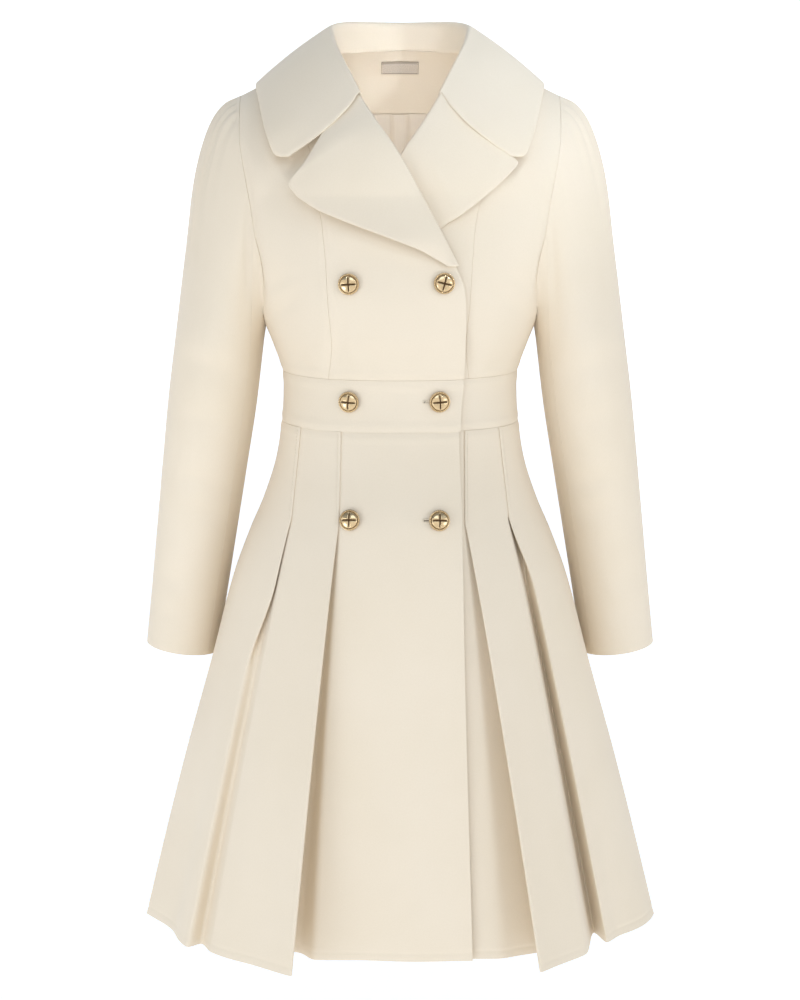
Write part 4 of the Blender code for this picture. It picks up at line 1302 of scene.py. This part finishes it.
class NodeShape(Tree):
    """A Geometry Nodes tree with named inputs, made a plain mesh when it is used."""

    def __init__(self, name, inputs):
        super().__init__(bpy.data.node_groups.new(name, "GeometryNodeTree"))
        face = self.tree.interface
        face.new_socket("Geometry", in_out="INPUT", socket_type="NodeSocketGeometry")
        self.names = {}
        for label, kind in inputs.items():
            self.names[label] = face.new_socket(label, in_out="INPUT", socket_type=kind).identifier
        face.new_socket("Geometry", in_out="OUTPUT", socket_type="NodeSocketGeometry")
        self.given = self.add("NodeGroupInput")

    def finish(self, points, turned, size, sides, material):
        """Ends the tree with a small bead on every point."""
        bead = self.add("GeometryNodeMeshUVSphere", None,
                        {"Segments": sides, "Rings": BEAD_RINGS, "Radius": 1.0})
        beads = self.add("GeometryNodeInstanceOnPoints", None, {
            "Points": points, "Instance": bead.outputs["Mesh"], "Rotation": turned, "Scale": size,
        })
        real = self.add("GeometryNodeRealizeInstances", None, {"Geometry": beads.outputs[0]})
        soft = self.add("GeometryNodeSetShadeSmooth", None, {"Geometry": real.outputs[0]})
        dressed = self.add("GeometryNodeSetMaterial", None,
                           {"Geometry": soft.outputs[0], "Material": material})
        self.add("NodeGroupOutput", None, {"Geometry": dressed.outputs[0]})

    def mesh(self, name, start, values):
        """The tree's result on a starting mesh, with its inputs set, as a new plain mesh."""
        carrier = put(name, start)
        modifier = carrier.modifiers.new("shape", "NODES")
        modifier.node_group = self.tree
        for label, value in values.items():
            modifier[self.names[label]] = value
        bpy.context.view_layer.update()
        evaluated = carrier.evaluated_get(bpy.context.evaluated_depsgraph_get())
        result = bpy.data.meshes.new_from_object(evaluated)
        bpy.data.objects.remove(carrier)
        return result


def rope_rim(material):
    """Slanted beads round a circle, as the twisted rim of a button."""
    shape = NodeShape("rope_rim", {
        "Radius": "NodeSocketFloat", "Count": "NodeSocketInt", "Bead": "NodeSocketVector",
        "Tilt": "NodeSocketVector",
    })
    given = shape.given.outputs
    ring = shape.add("GeometryNodeCurvePrimitiveCircle", None,
                     {"Resolution": RIM_CIRCLE_STEPS, "Radius": given["Radius"]})
    points = shape.add("GeometryNodeCurveToPoints", {"mode": "COUNT"},
                       {"Curve": ring.outputs[0], "Count": given["Count"]})
    turned = shape.add("FunctionNodeAlignRotationToVector", {"axis": "X"},
                       {"Vector": points.outputs["Tangent"]})
    tilt = shape.add("FunctionNodeEulerToRotation", None, {0: given["Tilt"]})
    tilted = shape.add("FunctionNodeRotateRotation", {"rotation_space": "LOCAL"},
                       {"Rotation": turned.outputs[0], "Rotate By": tilt.outputs[0]})
    shape.finish(points.outputs["Points"], tilted.outputs[0], given["Bead"], RIM_BEAD_SIDES, material)
    return shape


def stitch_rows(material):
    """Stitches along a path: lengthwise, or across it where Across is 1."""
    shape = NodeShape("thread_stitches", {
        "Pitch": "NodeSocketFloat", "Stitch": "NodeSocketVector", "Facing": "NodeSocketVector",
        "Across": "NodeSocketFloat",
    })
    given = shape.given.outputs
    path = shape.add("GeometryNodeMeshToCurve", None, {"Mesh": given["Geometry"]})
    points = shape.add("GeometryNodeCurveToPoints", {"mode": "LENGTH"},
                       {"Curve": path.outputs[0], "Length": given["Pitch"]})
    tangent = points.outputs["Tangent"]
    sideways = shape.add("ShaderNodeVectorMath", {"operation": "CROSS_PRODUCT"},
                         {0: tangent, 1: given["Facing"]})
    way = shape.add("ShaderNodeMix", {"data_type": "VECTOR"},
                    {0: given["Across"], 4: tangent, 5: sideways.outputs[0]})
    turned = shape.add("FunctionNodeAlignRotationToVector", {"axis": "X"}, {"Vector": way.outputs[1]})
    shape.finish(points.outputs["Points"], turned.outputs[0], given["Stitch"], STITCH_SIDES, material)
    return shape


# Buttons: a dome of four pillows in a rope rim, with a foot that reaches down to the cloth
ButtonPlace = namedtuple("ButtonPlace", "row column across height turn")
BUTTON_PLACES = [
    ButtonPlace("top", "outer", 51.0, -191.0, 3.0),
    ButtonPlace("top", "inner", -44.0, -190.0, -14.0),
    ButtonPlace("middle", "outer", 51.0, -317.0, -4.0),
    ButtonPlace("middle", "inner", -39.5, -316.5, 4.0),
    ButtonPlace("bottom", "outer", 50.5, -439.0, 2.0),
    ButtonPlace("bottom", "inner", -39.5, -439.0, -3.0),
]
BUTTON_GAP = 1.5
BUTTON_SCALE = 0.93
DOME_RADIUS = 9.2
DOME_FOOT = 2.4
DOME_RISE = 3.4
DOME_ROUNDNESS = 0.86
# The cross of grooves between the pillows and the stain along it: width, depth or strength, and the
# shares of the radius over which each ends
GROOVE_WIDTH = 0.85
GROOVE_DEPTH = 1.5
GROOVE_ENDS = 1.02
GROOVE_FADE = 0.25
STAIN = 0.3
STAIN_WIDTH = 2.3
STAIN_FADE = 0.4
DOME_RINGS = 26
DOME_SIDES = 72
RIM_RADIUS = 10.6
RIM_HEIGHT = 2.5
RIM_BEADS = 38
RIM_BEAD = (1.35, 0.62, 0.85)
RIM_TILT = 0.85
# Patina: beside the dome, on the button's back, and on the rim's beads, where it grows downwards to a most
DOME_SIDE_PATINA = 0.75
BACK_PATINA = 0.25
BEAD_PATINA = 0.1
BEAD_PATINA_GROWS = 1.2
BEAD_PATINA_MOST = 0.9
BUTTON_CORNER = math.radians(50.0)
# How far from a button's middle the slope of the cloth under it is taken
BUTTON_PROBE = 4.0
# The button's back, from the dome's foot out to the rim and down to the shank
BackRing = namedtuple("BackRing", "radius height patina")
BUTTON_BACK = [
    BackRing(9.7, 2.0, DOME_SIDE_PATINA),
    BackRing(10.9, 2.6, BACK_PATINA),
    BackRing(11.9, 2.2, BACK_PATINA),
    BackRing(12.0, 1.4, BACK_PATINA),
    BackRing(11.2, 0.3, BACK_PATINA),
    BackRing(9.6, 0.0, BACK_PATINA),
    BackRing(3.2, 0.0, BACK_PATINA),
    BackRing(2.6, -1.5, BACK_PATINA),
]


def dome_height(x, y):
    """The dome's height and how far each point lies in a groove."""
    far = np.hypot(x, y) / DOME_RADIUS
    groove = bell(x, GROOVE_WIDTH) + bell(y, GROOVE_WIDTH)
    groove = np.minimum(groove, 1.0) * ease((GROOVE_ENDS - far) / GROOVE_FADE)
    stain = bell(np.minimum(np.abs(x), np.abs(y)), STAIN_WIDTH) * ease((1 - far) / STAIN_FADE)
    rise = DOME_RISE * np.sqrt(np.maximum(1 - DOME_ROUNDNESS * far ** 2, 0.0))
    return DOME_FOOT + rise - GROOVE_DEPTH * groove, np.maximum(groove, STAIN * stain)


def ring_faces(rings, sides):
    """Faces from a middle point, numbered 0, out through rings of points."""
    faces = []
    for j in range(sides):
        after = (j + 1) % sides
        faces.append([0, 1 + j, 1 + after])
        for ring in range(rings - 1):
            low, high = 1 + ring * sides, 1 + (ring + 1) * sides
            faces.append([low + j, high + j, high + after, low + after])
    return faces


def button_mesh(rim):
    """One button standing on the level, as points, faces and the depth of its hollows."""
    angles = 2 * math.pi * np.arange(DOME_SIDES) / DOME_SIDES
    circle = np.stack([np.cos(angles), np.sin(angles)], -1)
    rings, hollows = [], []
    for radius in DOME_RADIUS * even_steps(DOME_RINGS):
        height, groove = dome_height(*(radius * circle).T)
        rings.append(np.column_stack([radius * circle, height]))
        hollows.append(groove)
    for radius, height, patina in BUTTON_BACK:
        rings.append(np.column_stack([radius * circle, np.full(DOME_SIDES, height)]))
        hollows.append(np.full(DOME_SIDES, patina))
    points = np.concatenate([[[0.0, 0.0, dome_height(0.0, 0.0)[0]]]] + rings)
    hollows = np.concatenate([[1.0]] + hollows)
    faces = ring_faces(len(rings), DOME_SIDES)
    faces.append([len(points) - 1 - j for j in range(DOME_SIDES)])
    beads = np.empty(len(rim.vertices) * 3)
    rim.vertices.foreach_get("co", beads)
    beads = beads.reshape(-1, 3) / MM + (0.0, 0.0, RIM_HEIGHT)
    faces += [[len(points) + v for v in polygon.vertices] for polygon in rim.polygons]
    under = (RIM_HEIGHT - beads[:, 2]) * BEAD_PATINA_GROWS + BEAD_PATINA
    low_beads = np.clip(under, 0.0, BEAD_PATINA_MOST)
    return np.concatenate([points, beads]), faces, np.concatenate([hollows, low_beads])


def on_front(across, height, out):
    """Points that lie on the right front at a distance off its cloth."""
    return body(-across, height, lap_lift(RIGHT, across, height) + out)


def make_buttons(metal):
    start = bpy.data.meshes.new("rim_start")
    rim = rope_rim(metal).mesh("rim", start, {
        "Radius": RIM_RADIUS * MM, "Count": RIM_BEADS, "Bead": [s * MM for s in RIM_BEAD],
        "Tilt": (0.0, 0.0, RIM_TILT),
    })
    points, faces, hollows = button_mesh(rim)
    pieces = {}
    for row, column, across, height, turn in BUTTON_PLACES:
        here, right, left, low, high = on_front(
            across + BUTTON_PROBE * np.array([0, 1, -1, 0, 0]),
            height + BUTTON_PROBE * np.array([0, 0, 0, -1, 1]), BUTTON_GAP)
        along, up = Vector(left - right), Vector(high - low)
        face = along.cross(up).normalized()
        along.normalize()
        level = Matrix((along, face.cross(along), face)).transposed()
        turned = level @ Matrix.Rotation(math.radians(turn), 3, "Z")
        placed = points * BUTTON_SCALE @ np.array(turned).T + here
        node = f"button_{row}_{column}"
        piece = add_piece(f"{node}_gilt", placed, faces, metal)
        layer = piece.data.attributes.new("hollow", "FLOAT", "POINT")
        layer.data.foreach_set("value", hollows.astype(np.float32))
        piece.data.set_sharp_from_angle(angle=BUTTON_CORNER)
        pieces[node] = piece
    return pieces


# Buttonholes: where they start and end across, half the height of the sewn edge and the slit's share of
# it, and the height of each
HOLE_FROM = -23.0
HOLE_TO = -47.0
HOLE_HALF = 1.3
SLIT_SHARE = 0.62
HOLES = {"middle": -316.5, "bottom": -439.0}
HOLE_POINTS = 14

# Stitching: pitch, half of a stitch's length, width and height, and 1 where it lies across its path
Stitching = namedtuple("Stitching", "pitch length width height across")
HOLE_STITCHING = Stitching(0.75, 1.15, 0.32, 0.34, 1.0)
PLEAT_STITCHING = Stitching(3.4, 1.25, 0.26, 0.26, 0.0)
LABEL_STITCHING = Stitching(1.9, 0.75, 0.22, 0.22, 0.0)
STITCH_OFF = 0.25
SLIT_OFF = 0.15
PLEAT_STITCH_IN = 2.6
PLEAT_STITCH_TOP = 4.0
PLEAT_STITCH_END = 2.0
PLEAT_PATH_POINTS = 24
LABEL_STITCH_IN = 0.8
LABEL_STITCH_END = 1.0
LABEL_STITCH_OFF = 0.15
LABEL_PATH_POINTS = 8


def sew(name, shape, lines, stitching, closed=False):
    """A piece of stitches along lines on the cloth."""
    points, edges = [], []
    for line in lines:
        first = len(points)
        points += [tuple(point * MM) for point in line]
        edges += [(first + i, first + i + 1) for i in range(len(line) - 1)]
        if closed:
            edges.append((len(points) - 1, first))
    path = bpy.data.meshes.new("stitch_path")
    path.from_pydata(points, edges, [])
    mesh = shape.mesh(f"{name}_path", path, {
        "Pitch": stitching.pitch * MM, "Facing": (0.0, -1.0, 0.0), "Across": stitching.across,
        "Stitch": [size * MM for size in (stitching.length, stitching.width, stitching.height)],
    })
    return put(name, mesh)


def hole_outline(height, half):
    """A buttonhole's outline on the right front: two straight sides with round ends."""
    turn = np.linspace(-math.pi / 2, math.pi / 2, HOLE_POINTS)
    round_end = half * (1 - np.cos(turn))
    across = np.concatenate([HOLE_TO + round_end, (HOLE_FROM - round_end)[::-1]])
    up = half * np.sin(turn)
    return across, height + np.concatenate([up, up[::-1]])


def make_buttonholes(stitches, slit):
    pieces, outlines = [], []
    for row, height in HOLES.items():
        outlines.append(on_front(*hole_outline(height, HOLE_HALF), STITCH_OFF))
        # Each slit is a flat dark sheet of painted shade, lying just off the front inside its stitches
        points = on_front(*hole_outline(height, HOLE_HALF * SLIT_SHARE), SLIT_OFF)
        pieces.append(add_piece(f"buttonhole_{row}_slit", points, [list(range(len(points)))], slit))
    return pieces + [sew("buttonhole_stitches", stitches, outlines, HOLE_STITCHING, closed=True)]


def make_pleat_stitches(stitches):
    """A row of stitches down each pleat's fold, as far as it is sewn flat."""
    lines = []
    heights = np.linspace(BAND_BOTTOM - PLEAT_STITCH_TOP, PLEATS_OPEN + PLEAT_STITCH_END, PLEAT_PATH_POINTS)
    for pleat in PLEATS:
        back = pleat.face == "back"
        line = []
        for height in heights:
            fold, proud = pleat_at(pleat, height)[:2]
            across = np.array([fold + PLEAT_STITCH_IN])
            raised = proud + STITCH_OFF - seam_dip(height - BAND_BOTTOM)
            if not back:
                raised = raised + lap_lift(pleat.side, across, height)[0]
            x = pleat.side * across
            line.append((body(x, height, 0.0, back) + raised * level_outwards(x, height, back))[0])
        lines.append(line)
    return sew("pleat_stitches", stitches, lines, PLEAT_STITCHING)


def make_label_stitches(stitches):
    heights = np.linspace(LABEL_BOTTOM + LABEL_STITCH_END, LABEL_TOP - LABEL_STITCH_END, LABEL_PATH_POINTS)
    depth = LABEL_DEPTH + LABEL_THICKNESS + LABEL_STITCH_OFF
    inset = LABEL_HALF - LABEL_STITCH_IN
    lines = [body(x, heights, -depth, back=True) for x in (-inset, inset)]
    return sew("label_stitches", stitches, lines, LABEL_STITCHING)


# Each sheet's cut: width and length before sewing, share of that rectangle that the cut fills, how
# it is held, and what it hangs from or lies on
Cut = namedtuple("Cut", "width length share held rests_on")
CUTS = {
    "front_right": Cut(0.20, 0.37, 0.70, "hung", []),
    "front_left": Cut(0.20, 0.37, 0.70, "hung", []),
    "side_front_right": Cut(0.13, 0.34, 0.75, "hung", []),
    "side_front_left": Cut(0.13, 0.34, 0.75, "hung", []),
    "back_bodice": Cut(0.42, 0.38, 0.80, "hung", []),
    "band_right": Cut(0.27, 0.060, 1.0, "stretched", ["front_right_cloth", "side_front_right_cloth"]),
    "band_left": Cut(0.27, 0.060, 1.0, "stretched", ["front_left_cloth", "side_front_left_cloth"]),
    "band_back": Cut(0.34, 0.060, 1.0, "stretched", ["back_bodice_cloth"]),
    "skirt_right": Cut(0.62, 0.60, 0.78, "folded", ["band_right_cloth"]),
    "skirt_left": Cut(0.58, 0.60, 0.78, "folded", ["band_left_cloth"]),
    "skirt_back": Cut(1.06, 0.60, 0.78, "folded", ["band_back_cloth"]),
    "sleeve_right_outer": Cut(0.27, 0.66, 0.80, "gathered", ["side_front_right_cloth", "back_bodice_cloth"]),
    "sleeve_left_outer": Cut(0.27, 0.66, 0.80, "gathered", ["side_front_left_cloth", "back_bodice_cloth"]),
    "sleeve_right_under": Cut(0.10, 0.42, 0.85, "hung", ["sleeve_right_outer_cloth"]),
    "sleeve_left_under": Cut(0.10, 0.42, 0.85, "hung", ["sleeve_left_outer_cloth"]),
    "lapel_right": Cut(0.14, 0.24, 0.60, "folded", ["front_right_cloth"]),
    "lapel_left": Cut(0.12, 0.16, 0.60, "folded", ["front_left_cloth"]),
    "collar": Cut(0.62, 0.16, 0.80, "folded", ["back_bodice_cloth"]),
    "neck_facing": Cut(0.17, 0.08, 0.90, "laid", ["back_bodice_cloth"]),
    "back_lining": Cut(0.18, 0.14, 1.0, "laid", ["back_bodice_cloth"]),
    "label": Cut(0.042, 0.016, 1.0, "laid", ["neck_facing_cloth"]),
}


def declare(piece, node):
    """The piece stands for its CAD node, whose part is hidden, and rides with the coat."""
    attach(piece, "root")
    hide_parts(node)
    node in CUTS


# Floor, light and camera
FLOOR_HEIGHT = -1.40
FLOOR_FLAT = 4.5
FLOOR_RADIUS = 9.5
FLOOR_RISE = 4.6
FLOOR_RINGS = 26
FLOOR_SIDES = 64
AIM = Vector((0.0, 0.0, -0.440))
CAMERA_AWAY = 2.8
CAMERA_TILT = math.radians(10.0)
FRAME_HEIGHT = 1.1
SENSOR = 24.0
WORLD_LIGHT = 0.35
FLOOR_GLOW = 0.43
FLOOR_GLOW_TINT = (1.0, 0.99, 1.0, 1.0)
FLOOR_LIGHT = (0.965, 0.930, 0.890, 1.0)
FLOOR_DEEP = (0.945, 0.910, 0.870, 1.0)
FLOOR_GRAIN = 1.5
DAYLIGHT = (0.860, 0.985, 1.18)
NECK_TINT = (0.95, 0.97, 1.03)

# Wide soft lights: the direction they come from, power and spread in degrees
WideLamp = namedtuple("WideLamp", "name place power spread")
WIDE_LAMPS = [
    WideLamp("front_light", (0.0, -2.6, 1.15), 0.79, 45),
    WideLamp("left_light", (-2.3, -1.5, 0.3), 0.12, 60),
    WideLamp("right_light", (2.3, -1.5, 0.6), 0.36, 60),
    WideLamp("back_light", (-0.8, 2.2, 1.8), 0.50, 45),
]

# Soft round lamps, as their place, what they are turned to, their size, how far they fan out in degrees,
# power and tint: one low on each side for the skirt, one high on the right for the collar, and a small
# one inside the neck opening
RoundLamp = namedtuple("RoundLamp", "name place aim size fan power tint")
ROUND_LAMPS = [
    RoundLamp("skirt_light", (-1.35, -1.25, -0.95), (-0.10, -0.10, -0.72), 0.9, 180, 5.2, DAYLIGHT),
    RoundLamp("skirt_fill", (1.45, -1.10, -0.45), (0.12, -0.10, -0.72), 0.9, 180, 3.4, DAYLIGHT),
    RoundLamp("collar_light", (1.20, -1.20, 0.85), (0.16, -0.03, 0.07), 0.4, 14, 0.19, DAYLIGHT),
    RoundLamp("neck_light", (0.0, -0.040, -0.045), (0.0, 0.080, -0.005), 0.07, 180, 0.118, NECK_TINT),
]


def turned_to(data, place, aim):
    """A lamp or camera set up at a place and turned to what it looks at."""
    thing = put(data.name, data)
    thing.location = place
    thing.rotation_euler = (Vector(aim) - Vector(place)).to_track_quat("-Z", "Y").to_euler()
    return thing


def make_lamps():
    for lamp in WIDE_LAMPS:
        light = bpy.data.lights.new(lamp.name, "SUN")
        light.energy = lamp.power
        light.color = DAYLIGHT
        light.angle = math.radians(lamp.spread)
        turned_to(light, lamp.place, (0.0, 0.0, 0.0))
    for lamp in ROUND_LAMPS:
        light = bpy.data.lights.new(lamp.name, "AREA")
        light.shape = "DISK"
        light.size = lamp.size
        light.spread = math.radians(lamp.fan)
        light.energy = lamp.power
        light.color = lamp.tint
        turned_to(light, lamp.place, lamp.aim)


def make_stage():
    """A pale floor that rises into a round backdrop, and an even light all round."""
    finish = Finish("pale_floor")
    grain = finish.noise(finish.place(), FLOOR_GRAIN)
    finish.set(Base_Color=finish.mix(grain, FLOOR_DEEP, FLOOR_LIGHT), Roughness=0.9)
    finish.set(Emission_Color=FLOOR_GLOW_TINT, Emission_Strength=FLOOR_GLOW)
    points = [(0.0, 0.0, FLOOR_HEIGHT)]
    for radius in FLOOR_RADIUS * even_steps(FLOOR_RINGS):
        height = FLOOR_HEIGHT + FLOOR_RISE * between(radius, FLOOR_FLAT, FLOOR_RADIUS)
        for angle in 2 * math.pi * np.arange(FLOOR_SIDES) / FLOOR_SIDES:
            points.append((radius * math.cos(angle), radius * math.sin(angle), height))
    faces = ring_faces(FLOOR_RINGS, FLOOR_SIDES)
    add_piece("floor", np.array(points) / MM, faces, finish.material)
    world = bpy.data.worlds.new("studio")
    world.use_nodes = True
    around = world.node_tree.nodes["Background"].inputs
    around["Color"].default_value = DAYLIGHT + (1.0,)
    around["Strength"].default_value = WORLD_LIGHT
    bpy.context.scene.world = world


def make_camera():
    lens = bpy.data.cameras.new("camera")
    lens.sensor_fit = "VERTICAL"
    lens.sensor_height = SENSOR
    lens.lens = SENSOR * CAMERA_AWAY / FRAME_HEIGHT
    away = Vector((0.0, -math.cos(CAMERA_TILT), math.sin(CAMERA_TILT)))
    bpy.context.scene.camera = turned_to(lens, AIM + CAMERA_AWAY * away, AIM)


ivory = ivory_coating()
coat = {
    **make_bodice(ivory), **make_skirt(ivory), **make_sleeves(ivory), **make_lapels(ivory),
    **make_collar(ivory), **make_neck_inside(ivory, cream_lining(), woven_label()),
    **make_buttons(gold_metal()),
}
for node, piece in coat.items():
    declare(piece, node)

stitches = stitch_rows(sewing_thread())
trim = make_buttonholes(stitches, painted_slit_shade())
trim += [make_pleat_stitches(stitches), make_label_stitches(stitches)]
for piece in trim:
    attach(piece, "root")

make_stage()
make_lamps()
make_camera()
bpy.context.scene.view_settings.view_transform = "Standard"
